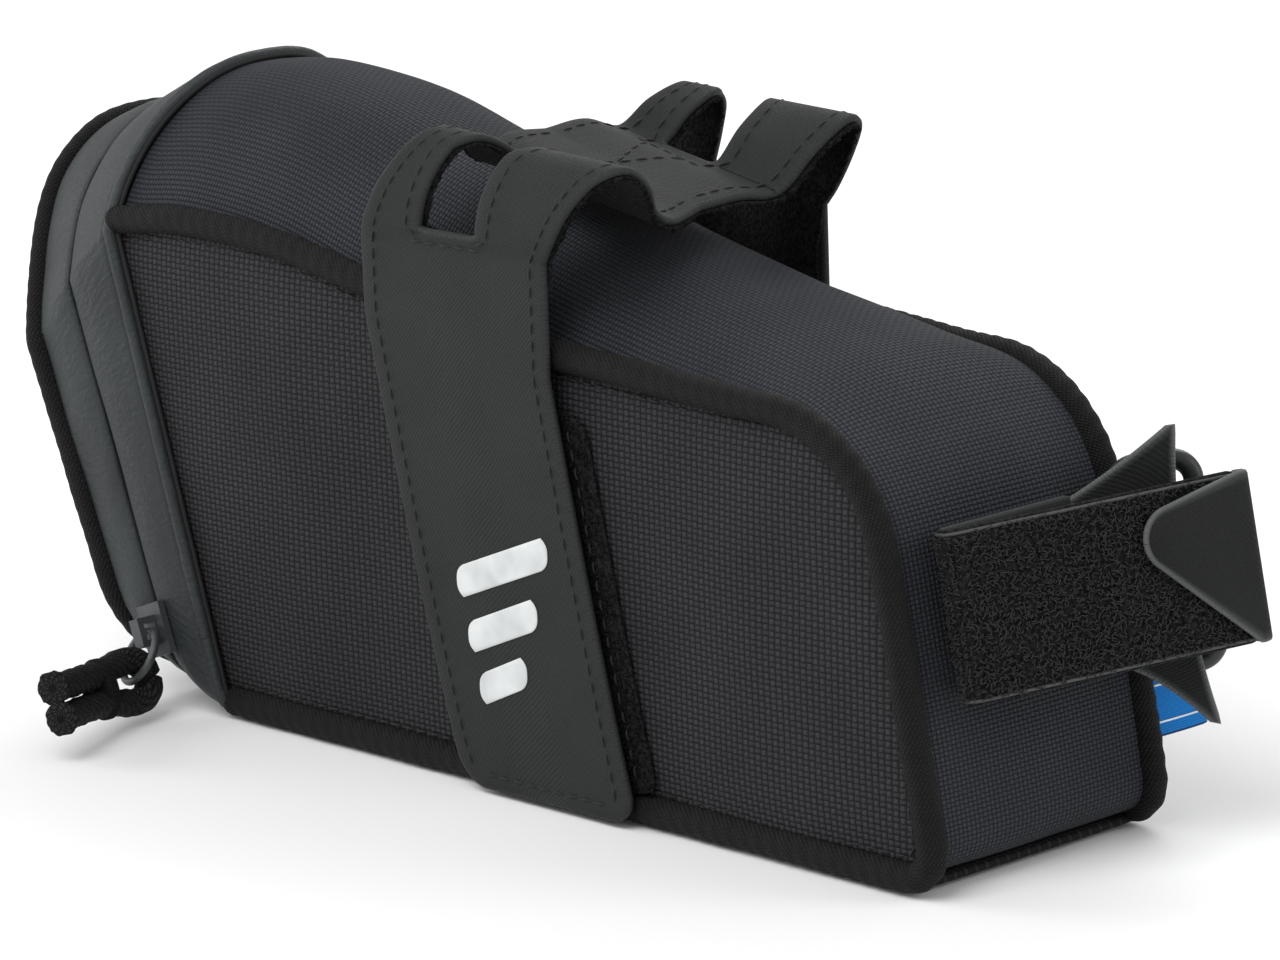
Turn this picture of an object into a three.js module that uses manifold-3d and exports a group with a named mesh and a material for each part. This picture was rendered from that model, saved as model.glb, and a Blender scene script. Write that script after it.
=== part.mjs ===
// Saddle bag for a bicycle: a sewn wedge-shaped bag with a zipped rear lid, a wide strap that
// loops over the two saddle rails, and a hook-and-loop strap with a ring for the seatpost.
// Millimetres. +X points forward to the seatpost, +Y to the bag's left side, +Z up.
// The origin is the centre of the flat base.
import * as THREE from 'three';
import { mergeVertices } from 'three/addons/utils/BufferGeometryUtils.js';
import Module from 'manifold-3d';

const wasm = await Module();
wasm.setup();

// Driving dimensions
const baseLength = 162;
const halfWidthFront = 24;
const halfWidthRear = 29;
const panel = 1.6; // thickness of a padded fabric panel
const pipingRadius = 2.2;
const seamGap = 0.3; // clearance between touching pieces
const frontLean = THREE.MathUtils.degToRad(11); // the front face follows the seatpost
const rearLean = THREE.MathUtils.degToRad(17.2);
const seamFront = 70; // height of the side seam at the front
const seamRear = 81.5; // height of the side seam at the rear
const crownRear = 23; // how far the top rises over the seam at the rear
const bandDepth = 13.2; // body collar, from its front edge to the zip slot
const zipSlot = 1.6;
const lidDepth = 28.6; // rear face, from the collar's front edge
const strapThickness = 1.4;
const postStrapWidth = 25;

const frontX = baseLength / 2;
const rearX = -baseLength / 2;
const seamSkin = panel - 0.2; // panel depth inside the seam line

const halfWidth = (x) =>
  halfWidthFront + ((halfWidthRear - halfWidthFront) * (frontX - x)) / baseLength;
const lerp = THREE.MathUtils.lerp;

// ---------- building helpers ----------

function closed(geometry) {
  const bare = geometry.clone();
  bare.deleteAttribute('normal');
  bare.deleteAttribute('uv');
  const merged = mergeVertices(bare, 1e-4);
  const index = merged.index.array;
  const place = merged.attributes.position;
  const kept = [];
  let volume = 0;
  const a = new THREE.Vector3();
  const b = new THREE.Vector3();
  const c = new THREE.Vector3();
  for (let i = 0; i < index.length; i += 3) {
    const corners = [index[i], index[i + 1], index[i + 2]];
    if (new Set(corners).size < 3) continue;
    kept.push(...corners);
    a.fromBufferAttribute(place, corners[0]);
    b.fromBufferAttribute(place, corners[1]);
    c.fromBufferAttribute(place, corners[2]);
    volume += a.dot(b.cross(c));
  }
  if (volume < 0) kept.reverse();
  merged.setIndex(kept);
  merged.computeVertexNormals();
  return merged;
}

// Moves every vertex of a unit box (u, v, w from 0 to 1) to map(u, v, w).
function sheet(stepsU, stepsV, map) {
  const geometry = new THREE.BoxGeometry(1, 1, 1, stepsU, stepsV, 1);
  const place = geometry.attributes.position;
  for (let i = 0; i < place.count; i += 1) {
    const to = map(place.getX(i) + 0.5, place.getY(i) + 0.5, place.getZ(i) + 0.5);
    place.setXYZ(i, ...to);
  }
  return closed(geometry);
}

// A closed ring: map(around, corner) places the section's corners at each step around it.
function ring(stepsAround, corners, map) {
  const geometry = new THREE.TorusGeometry(2, 1, corners, stepsAround);
  const place = geometry.attributes.position;
  for (let i = 0; i < place.count; i += 1) {
    const corner = Math.floor(i / (stepsAround + 1)) % corners;
    const around = (i % (stepsAround + 1)) % stepsAround;
    place.setXYZ(i, ...map(around, corner));
  }
  return closed(geometry);
}

function extruded(shape, depth, place) {
  const geometry = new THREE.ExtrudeGeometry(shape, { depth, bevelEnabled: false, curveSegments: 6 });
  const points = geometry.attributes.position;
  for (let i = 0; i < points.count; i += 1) {
    points.setXYZ(i, ...place(points.getX(i), points.getY(i), points.getZ(i)));
  }
  return closed(geometry);
}

function tube(points, radius, steps, sides, tension = 0.5) {
  const path = new THREE.CatmullRomCurve3(points, false, 'catmullrom', tension);
  const section = new THREE.Shape();
  for (let i = 0; i < sides; i += 1) {
    const angle = (2 * Math.PI * i) / sides;
    const at = [radius * Math.cos(angle), radius * Math.sin(angle)];
    if (i === 0) section.moveTo(...at);
    else section.lineTo(...at);
  }
  return closed(new THREE.ExtrudeGeometry(section, { steps, extrudePath: path, bevelEnabled: false }));
}

function box(size, centre) {
  const geometry = new THREE.BoxGeometry(...size);
  geometry.translate(...centre);
  return closed(geometry);
}

function solid(geometry) {
  return new wasm.Manifold(
    new wasm.Mesh({
      numProp: 3,
      vertProperties: new Float32Array(geometry.attributes.position.array),
      triVerts: new Uint32Array(geometry.index.array),
    }),
  );
}

function fromSolid(body) {
  const mesh = body.getMesh();
  const geometry = new THREE.BufferGeometry();
  geometry.setAttribute('position', new THREE.BufferAttribute(new Float32Array(mesh.vertProperties), 3));
  geometry.setIndex(new THREE.BufferAttribute(new Uint32Array(mesh.triVerts), 1));
  geometry.computeVertexNormals();
  return geometry;
}

const join = (...parts) => fromSolid(parts.map(solid).reduce((sum, next) => sum.add(next)));
const cut = (blank, ...tools) => {
  const remaining = tools.map(solid).reduce((left, next) => left.subtract(next), solid(blank));
  return fromSolid(remaining);
};

const materials = {
  fabric: new THREE.MeshStandardMaterial({ color: 0x2a2a2e, roughness: 0.85 }),
  coated: new THREE.MeshStandardMaterial({ color: 0x3c4042, roughness: 0.6 }),
  piping: new THREE.MeshStandardMaterial({ color: 0x1d1c1c, roughness: 0.9 }),
  strap: new THREE.MeshStandardMaterial({ color: 0x2e3030, roughness: 0.7 }),
  fuzz: new THREE.MeshStandardMaterial({ color: 0x201f21, roughness: 1 }),
  plastic: new THREE.MeshStandardMaterial({ color: 0x26282a, roughness: 0.45 }),
  metal: new THREE.MeshStandardMaterial({ color: 0x55585a, roughness: 0.4, metalness: 0.7 }),
  label: new THREE.MeshStandardMaterial({ color: 0x1478c8, roughness: 0.8 }),
  board: new THREE.MeshStandardMaterial({ color: 0x3a3a3a, roughness: 0.8 }),
};

const bag = new THREE.Group();
bag.name = 'saddle_bag';

function add(name, material, geometry) {
  const mesh = new THREE.Mesh(geometry, materials[material]);
  mesh.name = name;
  bag.add(mesh);
}

// ---------- the sewn body ----------

// Side seam, as the piping's centre line in the X-Z plane.
const frontSeamX = (z) => frontX - pipingRadius / Math.cos(frontLean) - Math.tan(frontLean) * z;
// The rear face leans back and its top curls forward, so the panels' rear ends do too.
const topCurl = (z) => 12 * (Math.max(0, z - 78) / 27) ** 2;
const rearEndX = (z) => rearX + 0.5 - Math.tan(rearLean) * z + topCurl(z);
const cornerTop = 24; // radius of the rounded front top
const cornerBase = 5;

const topSeam = new THREE.SplineCurve(
  [
    [rearEndX(seamRear), seamRear],
    [-88, 83.2],
    [-66, 82.2],
    [-40, 77.8],
    [-8, 73],
    [20, 71.2],
    [frontSeamX(seamFront) - cornerTop, seamFront],
  ].map(([x, z]) => new THREE.Vector2(x, z)),
);

function seamOutline(inset) {
  const line = [];
  const low = pipingRadius;
  line.push(new THREE.Vector2(rearEndX(low), low));
  line.push(new THREE.Vector2(0, low));
  const corner = (centreX, centreZ, radius, from, to, steps) => {
    for (let i = 0; i <= steps; i += 1) {
      const angle = lerp(from, to, i / steps);
      line.push(new THREE.Vector2(centreX + radius * Math.cos(angle), centreZ + radius * Math.sin(angle)));
    }
  };
  const besideFront = (z, radius) => frontSeamX(z) - radius / Math.cos(frontLean);
  corner(besideFront(low + cornerBase, cornerBase), low + cornerBase, cornerBase, -Math.PI / 2, frontLean, 4);
  const roundZ = seamFront - cornerTop;
  corner(besideFront(roundZ, cornerTop), roundZ, cornerTop, frontLean, Math.PI / 2, 6);
  line.push(...topSeam.getPoints(14).reverse().slice(1));
  if (inset === 0) return line;
  const middle = line.map((point, i) => {
    const before = line[Math.max(i - 1, 0)];
    const after = line[Math.min(i + 1, line.length - 1)];
    const along = after.clone().sub(before).normalize();
    return new THREE.Vector2(point.x - along.y * inset, point.y + along.x * inset);
  });
  return middle;
}

const seam = seamOutline(0);
const crownAt = (x) => crownRear * Math.max(0, 1 - (Math.max(x + 105, 0) / 165) ** 2);
const crownShape = (across) => 1 - Math.abs(across) ** 2.5;

function sidePanel(side) {
  const outline = new THREE.Shape(seamOutline(pipingRadius + seamGap));
  return extruded(outline, panel, (x, z, depth) => [x, side * (halfWidth(x) + 0.2 - depth), z]);
}

// The strip over the top and down the front, crowned between its seams.
const topStart = 6; // first seam point above the front base corner
const topLine = seam.slice(topStart);
function topFrontPanel() {
  const steps = topLine.length - 1;
  return sheet(steps, 10, (u, v, w) => {
    const i = Math.round(u * steps);
    const at = topLine[i];
    const before = topLine[Math.max(i - 1, 0)];
    const after = topLine[Math.min(i + 1, steps)];
    const along = after.clone().sub(before).normalize();
    const outward = lerp(-seamSkin, 0.2, w);
    const reach = halfWidth(at.x) - pipingRadius - seamGap;
    const across = 2 * v - 1;
    const level = THREE.MathUtils.clamp(-along.x, 0, 1); // 1 on the top, 0 on the front
    const rise = crownAt(at.x) * crownShape(across) * level;
    const z = at.y - along.x * outward + rise;
    return [Math.max(at.x + along.y * outward, rearEndX(z)), across * reach, z];
  });
}

function basePanel(low, high, inset, fromX, toX) {
  return sheet(1, 1, (u, v, w) => {
    const x = lerp(fromX, toX, u);
    const reach = halfWidth(x) - inset;
    const z = lerp(low, high, w);
    return [x - Math.tan(rearLean) * (u < 0.5 ? z : 0), lerp(-reach, reach, v), z];
  });
}

function sidePiping(side) {
  const line = seam.map((point) => new THREE.Vector3(point.x, side * halfWidth(point.x), point.y));
  return tube(line, pipingRadius, 54, 8, 0.4);
}

for (const [name, side] of [['right', -1], ['left', 1]]) {
  add(`side_panel_${name}`, 'fabric', sidePanel(side));
  add(`piping_${name}`, 'piping', sidePiping(side));
}
add('top_front_panel', 'fabric', topFrontPanel());
const baseFrontX = frontSeamX(pipingRadius + cornerBase) - cornerBase / Math.cos(frontLean);
add('base_panel', 'fabric', basePanel(0, panel, pipingRadius + seamGap, rearEndX(0), baseFrontX));
add('base_front_corner', 'fabric', sheet(4, 1, (u, v, w) => {
  const angle = lerp(-Math.PI / 2, frontLean, u);
  const radius = cornerBase + lerp(-seamSkin + 0.2, pipingRadius, w);
  const x = baseFrontX + 0.3 + radius * Math.cos(angle);
  const reach = halfWidth(x) - pipingRadius - seamGap;
  return [x, lerp(-reach, reach, v), pipingRadius + cornerBase + radius * Math.sin(angle)];
}));
add('base_stiffener', 'board', basePanel(panel + 0.4, panel + 1.8, 6, rearEndX(0) + 6, baseFrontX - 4));

// ---------- the rear mouth and its lid ----------

// A rear section: a flat bottom with round corners, straight sides and an arched top.
function rearOutline(halfW, low, shoulder, top, corner) {
  const points = [];
  const push = (y, z) => points.push([y, z]);
  for (let i = 0; i <= 4; i += 1) push(lerp(-(halfW - corner), halfW - corner, i / 4), low);
  for (let i = 1; i <= 3; i += 1) {
    const angle = lerp(-Math.PI / 2, 0, i / 3);
    push(halfW - corner + corner * Math.cos(angle), low + corner + corner * Math.sin(angle));
  }
  for (let i = 1; i <= 3; i += 1) push(halfW, lerp(low + corner, shoulder, i / 3));
  for (let i = 1; i < 16; i += 1) {
    const across = Math.cos((Math.PI * i) / 16);
    push(halfW * across, lerp(shoulder, top, crownShape(across)));
  }
  for (let i = 3; i >= 1; i -= 1) push(-halfW, lerp(low + corner, shoulder, i / 3));
  for (let i = 3; i >= 1; i -= 1) {
    const angle = lerp(-Math.PI / 2, 0, i / 3);
    push(-(halfW - corner + corner * Math.cos(angle)), low + corner + corner * Math.sin(angle));
  }
  return points;
}
const outlineCount = rearOutline(30, 0, 70, 90, 8).length;

// The collar and lid are shallower towards the hinge at the base; the zip slot is the same all round.
const lowShare = 0.56; // their depth at the base as a share of that at the top
const fullHeight = 98;
const depthBehind = (z, off) => {
  const inSlot = THREE.MathUtils.clamp(off - bandDepth, 0, zipSlot);
  const behindLid = Math.max(0, off - (lidDepth - 2.8)); // the lid's seam and all behind it
  return (off - inSlot - behindLid) * lerp(lowShare, 1, z / fullHeight) + inSlot + behindLid;
};
// off is the distance behind the collar's front edge, as it is at the top.
const onRear = (y, z, off) => [
  rearX - Math.tan(rearLean) * z - depthBehind(z, off) / Math.cos(rearLean) + topCurl(z),
  y,
  z,
];

const rearSizes = [
  { off: 0, halfW: 32.1, low: 0.3, shoulder: 80, top: 106.6, corner: 4.5 },
  { off: 14, halfW: 33.6, low: 2.4, shoulder: 70, top: 98, corner: 9.5 },
  { off: 30, halfW: 34, low: 4.4, shoulder: 58, top: 92.5, corner: 17 },
];
function rearSize(off, inset) {
  const k = off < rearSizes[1].off ? 0 : 1;
  const [a, b] = [rearSizes[k], rearSizes[k + 1]];
  const t = (off - a.off) / (b.off - a.off);
  return [
    lerp(a.halfW, b.halfW, t) - inset,
    lerp(a.low, b.low, t) + inset,
    lerp(a.shoulder, b.shoulder, t),
    lerp(a.top, b.top, t) - inset,
    lerp(a.corner, b.corner, t) - inset,
  ];
}
function band(from, to, thickness, inset = 0) {
  const rows = [
    [from, inset],
    [to, inset],
    [to, inset + thickness],
    [from, inset + thickness],
  ].map(([off, depth]) => rearOutline(...rearSize(off, depth)).map(([y, z]) => onRear(y, z, off)));
  return ring(outlineCount, 4, (around, corner) => rows[corner][around]);
}
// The zip runs up one side, over the top and down the other, so its strips skip the bottom.
function zipStrip(from, to, thickness, inset) {
  const first = 7;
  const last = outlineCount - 3;
  const steps = last - first;
  const rows = {};
  return sheet(steps, 1, (u, v, w) => {
    const off = v < 0.5 ? from : to;
    const depth = w < 0.5 ? inset + thickness : inset;
    const key = `${off} ${depth}`;
    rows[key] = rows[key] ?? rearOutline(...rearSize(off, depth)).map(([y, z]) => onRear(y, z, off));
    return rows[key][first + Math.round(u * steps)];
  });
}

const collarSkin = 1.5;
const tapeInset = collarSkin + 0.45;
const coilInset = tapeInset + 0.6 + 0.45;
const slotEnd = bandDepth + zipSlot;
add('rear_collar', 'coated', band(0.2, bandDepth, collarSkin));
add('zip_tape_body', 'fuzz', zipStrip(bandDepth - 5, bandDepth, 0.6, tapeInset));
add('zip_coil_body', 'plastic', zipStrip(bandDepth - 1.6, bandDepth, 0.9, coilInset));
add('lid_band', 'coated', band(slotEnd, lidDepth - 2.2, collarSkin));
add('zip_tape_lid', 'fuzz', zipStrip(slotEnd, slotEnd + 5, 0.6, tapeInset));
add('zip_coil_lid', 'plastic', zipStrip(slotEnd, slotEnd + 1.6, 0.9, coilInset));

const lidPipingOff = lidDepth;
const lidPipingInset = 0.3;
{
  const flat = rearOutline(...rearSize(lidPipingOff, lidPipingInset));
  const rim = flat.map(([y, z]) => onRear(y, z, lidPipingOff));
  const sides = 6;
  add('lid_piping', 'piping', ring(outlineCount, sides, (around, corner) => {
    const [x, y, z] = rim[around];
    const before = new THREE.Vector3(...rim[(around + outlineCount - 1) % outlineCount]);
    const after = new THREE.Vector3(...rim[(around + 1) % outlineCount]);
    const along = after.sub(before).normalize();
    const back = new THREE.Vector3(-Math.cos(rearLean), 0, -Math.sin(rearLean));
    back.addScaledVector(along, -back.dot(along)).normalize();
    const out = new THREE.Vector3().crossVectors(along, back);
    const angle = (2 * Math.PI * corner) / sides;
    const radius = 1.8;
    const reach = back.multiplyScalar(radius * Math.cos(angle));
    reach.addScaledVector(out, radius * Math.sin(angle));
    return [x + reach.x, y + reach.y, z + reach.z];
  }));
}

{
  const flat = rearOutline(...rearSize(lidPipingOff, lidPipingInset + 1.8 + seamGap + 0.2));
  const shape = new THREE.Shape(flat.map(([y, z]) => new THREE.Vector2(y, z)));
  const behind = (y, z, depth) => onRear(y, z, lidPipingOff - 0.4 + depth);
  add('lid_panel', 'coated', extruded(shape, panel, behind));
}

// Webbing loop on the lid for clipping a rear light: sewn at both ends, open behind its middle.
const lightLoop = { width: 20, low: 30, high: 66, stand: 7.2, thickness: 1.2 };
add('light_loop', 'strap', sheet(10, 1, (u, v, w) => {
  const z = lerp(lightLoop.low, lightLoop.high, u);
  const lift = lightLoop.stand * Math.min(1, 1.6 * Math.sin(Math.PI * u));
  const off = lidPipingOff + panel - 0.4 + seamGap + lift + w * lightLoop.thickness;
  return onRear(lerp(-lightLoop.width / 2, lightLoop.width / 2, v), z, off);
}));

// Fabric that joins the collar to the lid along the bottom, where there is no zip.
add('lid_hinge_tape', 'fuzz', sheet(1, 1, (u, v, w) => {
  const off = lerp(bandDepth - 5, slotEnd + 3, v);
  const [halfW, low] = rearSize(off, collarSkin + seamGap + 0.2 + 0.6 * w);
  const reach = halfW - 12;
  return onRear(lerp(-reach, reach, u), low, off);
}));

// ---------- zip slider and its pull ----------

const sliderHeight = 13.4;
const sliderOff = bandDepth + zipSlot / 2;
const narrowing = (bandDepth * (1 - lowShare)) / fullHeight / Math.cos(rearLean);
const zipLean = Math.atan(Math.tan(rearLean) + narrowing); // the zip leans more than the collar's front edge
const slideUp = new THREE.Vector3(-Math.sin(zipLean), 0, Math.cos(zipLean));
const slideBack = new THREE.Vector3(-Math.cos(zipLean), 0, -Math.sin(zipLean));
const bandSide = -rearSize(sliderOff, 0)[0]; // the collar's right face at the zip
const sliderAt = new THREE.Vector3(...onRear(bandSide, sliderHeight, sliderOff));
// Local axes at the slider: back along the band, outward from the bag, up the zip.
function atSlider(geometry) {
  const frame = new THREE.Matrix4().makeBasis(slideBack, new THREE.Vector3(0, -1, 0), slideUp);
  frame.setPosition(sliderAt);
  geometry.applyMatrix4(frame);
  return closed(geometry);
}
const plateGap = 0.45;
const sliderPlate = box([6.4, 1.2, 9], [0, plateGap + 0.6, 0]);
const sliderPost = box([0.9, 6, 2.4], [0, -1.8, -2.6]);
const sliderInner = box([6.4, 1.1, 9], [0, -4.75, 0]);
const bridge = cut(box([2.4, 3.9, 5], [0, plateGap + 2.85, 0]), box([3, 2.2, 2.8], [0, plateGap + 2.6, 0]));
const sliderBody = join(sliderPlate, sliderPost, sliderInner, bridge);
add('zip_slider', 'metal', atSlider(sliderBody));

const bailWire = 0.65;
const bailRadius = 4.1;
const bailAxis = plateGap + 2.5; // outward distance of the bail's pivot
const bailSwing = THREE.MathUtils.degToRad(52); // hangs this far below straight out
const bail = new THREE.TorusGeometry(bailRadius, bailWire, 6, 20);
bail.scale(1, 1.15, 1);
bail.translate(0, bailRadius * 1.15, 0);
bail.rotateX(-bailSwing);
bail.translate(0, bailAxis, 0);
add('zip_bail', 'metal', atSlider(bail));

// The braided cord is doubled round the bail's far wire, bound together, and ends in two free
// tails. Its places are (forward, outward, rise) from the middle of that wire.
const cordRadius = 2.4;
const farWire = sliderAt.clone()
  .addScaledVector(slideUp, -2 * bailRadius * 1.15 * Math.sin(bailSwing))
  .add(new THREE.Vector3(0, -bailAxis - 2 * bailRadius * 1.15 * Math.cos(bailSwing), 0));
const fromWire = (forward, outward, rise) => {
  const place = farWire.clone().addScaledVector(slideBack, -forward).addScaledVector(slideUp, rise);
  return place.add(new THREE.Vector3(0, -outward, 0));
};
const bight = [
  [1.9, 6.1, 2.85], [0.5, 3, 3.3], [0, 0, 3.55], [0, -2.55, 2.5], [0, -3.55, 0],
  [0, -2.55, -2.5], [0, 0, -3.5], [0.5, 3, -3.2], [1.9, 6.1, -2.7],
];
add('zip_cord_bight', 'fabric', tube(bight.map((at) => fromWire(...at)), cordRadius, 26, 8));
const wrapFrom = { forward: 2.6, outward: 7.2 };
const wrapTo = { forward: 4.5, outward: 10.7 };
add('cord_wrap', 'piping', sheet(1, 1, (u, v, w) => {
  const aside = lerp(-2.6, 2.6, v); // across the two cords, square to their direction
  const forward = lerp(wrapFrom.forward, wrapTo.forward, u) + aside * 0.88;
  const outward = lerp(wrapFrom.outward, wrapTo.outward, u) - aside * 0.47;
  return fromWire(forward, outward, lerp(-5.2, 5, w)).toArray();
}));
const tails = {
  upper: [[5, 11.6, 2.4], [6.8, 15, 2.1], [9, 19.2, 1.7], [11.2, 23.4, 1.5]],
  lower: [[5, 11.6, -2.75], [6.8, 15, -3.1], [9, 19.2, -3.7], [11.2, 23.4, -4.4]],
};
for (const [name, at] of Object.entries(tails)) {
  add(`zip_cord_${name}`, 'fabric', tube(at.map((place) => fromWire(...place)), cordRadius, 6, 8));
}

// ---------- strap over the saddle rails ----------

const topHeight = (x, y) => {
  let k = 0;
  while (k < topLine.length - 2 && topLine[k + 1].x > x) k += 1;
  const [a, b] = [topLine[k], topLine[k + 1]];
  const seamZ = lerp(a.y, b.y, (x - a.x) / (b.x - a.x));
  return seamZ + 0.2 + crownAt(x) * crownShape(y / (halfWidth(x) - pipingRadius - seamGap));
};
const wingStand = 3.1; // wing's inner face, outside the side seam's half width
const wingTop = 86.4;
const wingCentre = (x) => halfWidth(x) + wingStand + strapThickness / 2;
const lieOnTop = (x, y) => topHeight(x, y) + 1.5;
// The strap's rear and front edges from the middle of the bag over the rail and down to the wing.
const rearEdge = [
  [-30, 0, lieOnTop(-30, 0) + 4], [-30, 8, lieOnTop(-30, 5) + 4.2], [-28.5, 14.5, 98.8], [-27, 20, 102.6],
  [-26, 26, 104.6], [-27.5, 30, 102.6], [-31, 31.8, 97], [-35.5, 32, 91],
  [-38.6, wingCentre(-38.6), wingTop + 1.2],
];
const frontEdge = [
  [5, 0, lieOnTop(5, 0) + 5.5], [5.6, 8, lieOnTop(5.6, 5) + 6], [8, 14.5, 92.6], [10.5, 20, 98.6],
  [12, 26, 102.8], [10.6, 30, 101.4], [7.4, 31.2, 96.4], [4.2, 31, 91], [2, wingCentre(2), wingTop + 1.2],
];
// The right loop's front edge leans further forward.
const rightLean = [0, 0.5, 3, 5.2, 5.6, 3.6, 1.6, 0.6, 0.1];
function edgeCurve(points, side) {
  const leans = points === frontEdge && side < 0;
  const places = points.map(([x, y, z], i) => new THREE.Vector3(leans ? x + rightLean[i] : x, side * y, z));
  return new THREE.CatmullRomCurve3(places, false, 'catmullrom', 0.5);
}
// fromQ and toQ are the shares of the strap's width at the start, at the rail and at the end.
function loopSheet(side, fromS, toS, width, steps, low, high) {
  const share = (at, u) => (u < 0.5 ? lerp(at[0], at[1], 2 * u) : lerp(at[1], at[2], 2 * u - 1));
  const rear = edgeCurve(rearEdge, side);
  const front = edgeCurve(frontEdge, side);
  return sheet(steps, 1, (u, v, w) => {
    const s = lerp(fromS, toS, u);
    const q = lerp(share(width.from, u), share(width.to, u), v);
    const here = rear.getPoint(s).lerp(front.getPoint(s), q);
    const along = rear.getTangent(s).lerp(front.getTangent(s), 0.5).normalize();
    const across = front.getPoint(s).sub(rear.getPoint(s)).normalize();
    const normal = new THREE.Vector3().crossVectors(across, along).normalize().multiplyScalar(side);
    return here.addScaledVector(normal, lerp(low, high, w)).toArray();
  });
}
const halfStrap = strapThickness / 2;
const windowFrom = 0.24;
const windowTo = 0.93;
const wholeWidth = { from: [0, 0, 0], to: [1, 1, 1] };
const windowSide = { from: [0.26, 0.18, 0.3], to: [0.62, 0.5, 0.64] };
const sides = [['right', -1], ['left', 1]];
const loops = sides.map(([, side]) =>
  cut(
    loopSheet(side, 0, 1, wholeWidth, 26, -halfStrap, halfStrap),
    loopSheet(side, windowFrom, windowTo, windowSide, 14, -2.4, 2.4),
  ),
);
add('rail_strap_center', 'strap', join(...loops));

// Each wing hangs flat along the side and narrows towards its rounded lower end.
const wingOutline = (inset, low, high) => {
  const rearX0 = (z) => lerp(-18.5, -38.6, Math.min(1, (z + 1) / 76) ** 0.86) + inset;
  const frontX0 = (z) => lerp(17.8, 2, Math.min(1, Math.max(0, z - 3) / 66) ** 0.9) - inset;
  const shape = new THREE.Shape();
  const round = 5;
  shape.moveTo(rearX0(low) + round, low);
  shape.lineTo(frontX0(low) - round, low);
  shape.quadraticCurveTo(frontX0(low), low, frontX0(low + round), low + round);
  for (let i = 1; i <= 6; i += 1) {
    const z = lerp(low + round, high, i / 6);
    shape.lineTo(frontX0(z), z);
  }
  for (let i = 6; i >= 0; i -= 1) {
    const z = lerp(low + round, high, i / 6);
    shape.lineTo(rearX0(z), z);
  }
  shape.quadraticCurveTo(rearX0(low), low, rearX0(low) + round, low);
  return shape;
};
const onSide = (side, stand) => (x, z, depth) => [x, side * (halfWidth(x) + stand + depth), z];
const wingLow = 0.8;
for (const [name, side] of sides) {
  const wing = wingOutline(0, wingLow, wingTop - 0.4);
  add(`rail_strap_${name}`, 'strap', extruded(wing, strapThickness, onSide(side, wingStand)));
  add(`hook_patch_${name}`, 'fuzz', extruded(wingOutline(2.5, 6, 62), 0.8, onSide(side, 2)));
  add(`loop_patch_${name}`, 'fuzz', extruded(wingOutline(-3.5, 5.2, 63), 0.9, onSide(side, 0.6)));
}

// ---------- strap for the seatpost ----------

// Places in front of the front face: d outward from it, y across, h up along it.
const faceUp = new THREE.Vector3(-Math.sin(frontLean), 0, Math.cos(frontLean));
const faceOut = new THREE.Vector3(Math.cos(frontLean), 0, Math.sin(frontLean));
const onFace = (d, y, h) =>
  new THREE.Vector3(frontX, y, 0).addScaledVector(faceOut, d).addScaledVector(faceUp, h).toArray();

const postLow = 29;
const postHigh = postLow + postStrapWidth;
const sewnY = 12; // where the strap is sewn to the front face
const nearFold = -15; // where it turns back on the right
const farEnd = { d: 20, y: 28 }; // where it turns back on the left

function alongFace(points, thickness, low, high, steps) {
  const places = points.map(([d, y]) => new THREE.Vector3(d, y, 0));
  const path = new THREE.CatmullRomCurve3(places, false, 'catmullrom', 0.3);
  return sheet(steps, 1, (u, v, w) => {
    const at = path.getPoint(u);
    const along = path.getTangent(u);
    const shift = lerp(-thickness / 2, thickness / 2, w);
    return onFace(at.x + along.y * shift, at.y - along.x * shift, lerp(low, high, v));
  });
}
const sewnRun = [[1.3, sewnY - 0.5], [1.3, nearFold + 0.6]];
add('post_strap_back', 'strap', alongFace(sewnRun, strapThickness, postLow, postHigh, 1));
const frontStart = [5.6, -16.9];
add('post_strap_front', 'fuzz', alongFace(
  [[2.9, -16.6], [4, -17.5], frontStart, [11.5, 1.5], [farEnd.d, farEnd.y]],
  strapThickness, postLow, postHigh, 12,
));
// Unit vectors of the front layer at its far end: along it and away from the bag.
const layer = new THREE.Vector2(farEnd.d - 11.5, farEnd.y - 1.5).normalize();
const layerOut = new THREE.Vector2(layer.y, -layer.x);
const onLayer = (t, stand, h) =>
  onFace(farEnd.d + layer.x * t + layerOut.x * stand, farEnd.y + layer.y * t + layerOut.y * stand, h);

// The hook tip is folded back over the loop face; it tapers to a rounded end.
const tipLength = 17;
{
  const shape = new THREE.Shape();
  shape.moveTo(0, postLow);
  shape.lineTo(0, postHigh);
  shape.lineTo(-tipLength + 7, postHigh - 2.2);
  shape.quadraticCurveTo(-tipLength, postHigh - 4, -tipLength, postHigh - 8);
  shape.quadraticCurveTo(-tipLength, postHigh - 11, -tipLength + 3, postHigh - 13);
  shape.lineTo(-6, postLow + 5.5);
  add('post_strap_tip', 'strap', extruded(shape, strapThickness, (t, h, depth) =>
    onLayer(t, strapThickness / 2 + 0.5 + depth, h)));
}

// The tab beside the sewn end flares into two ears that cover the ring.
const tabAngle = THREE.MathUtils.degToRad(43);
const earLength = 16.5;
{
  const shape = new THREE.Shape();
  shape.moveTo(0, postLow + 0.5);
  shape.quadraticCurveTo(earLength * 0.72, postLow - 1, earLength + 0.6, 17);
  shape.lineTo(earLength - 1.2, 62.5);
  shape.quadraticCurveTo(earLength * 0.6, postHigh + 3, 0, postHigh - 0.5);
  add('strap_tab', 'strap', extruded(shape, strapThickness, (t, h, depth) => onFace(
    1.5 + t * Math.sin(tabAngle) + (depth - halfStrap) * Math.cos(tabAngle),
    sewnY + t * Math.cos(tabAngle) - (depth - halfStrap) * Math.sin(tabAngle),
    h,
  )));
}

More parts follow.
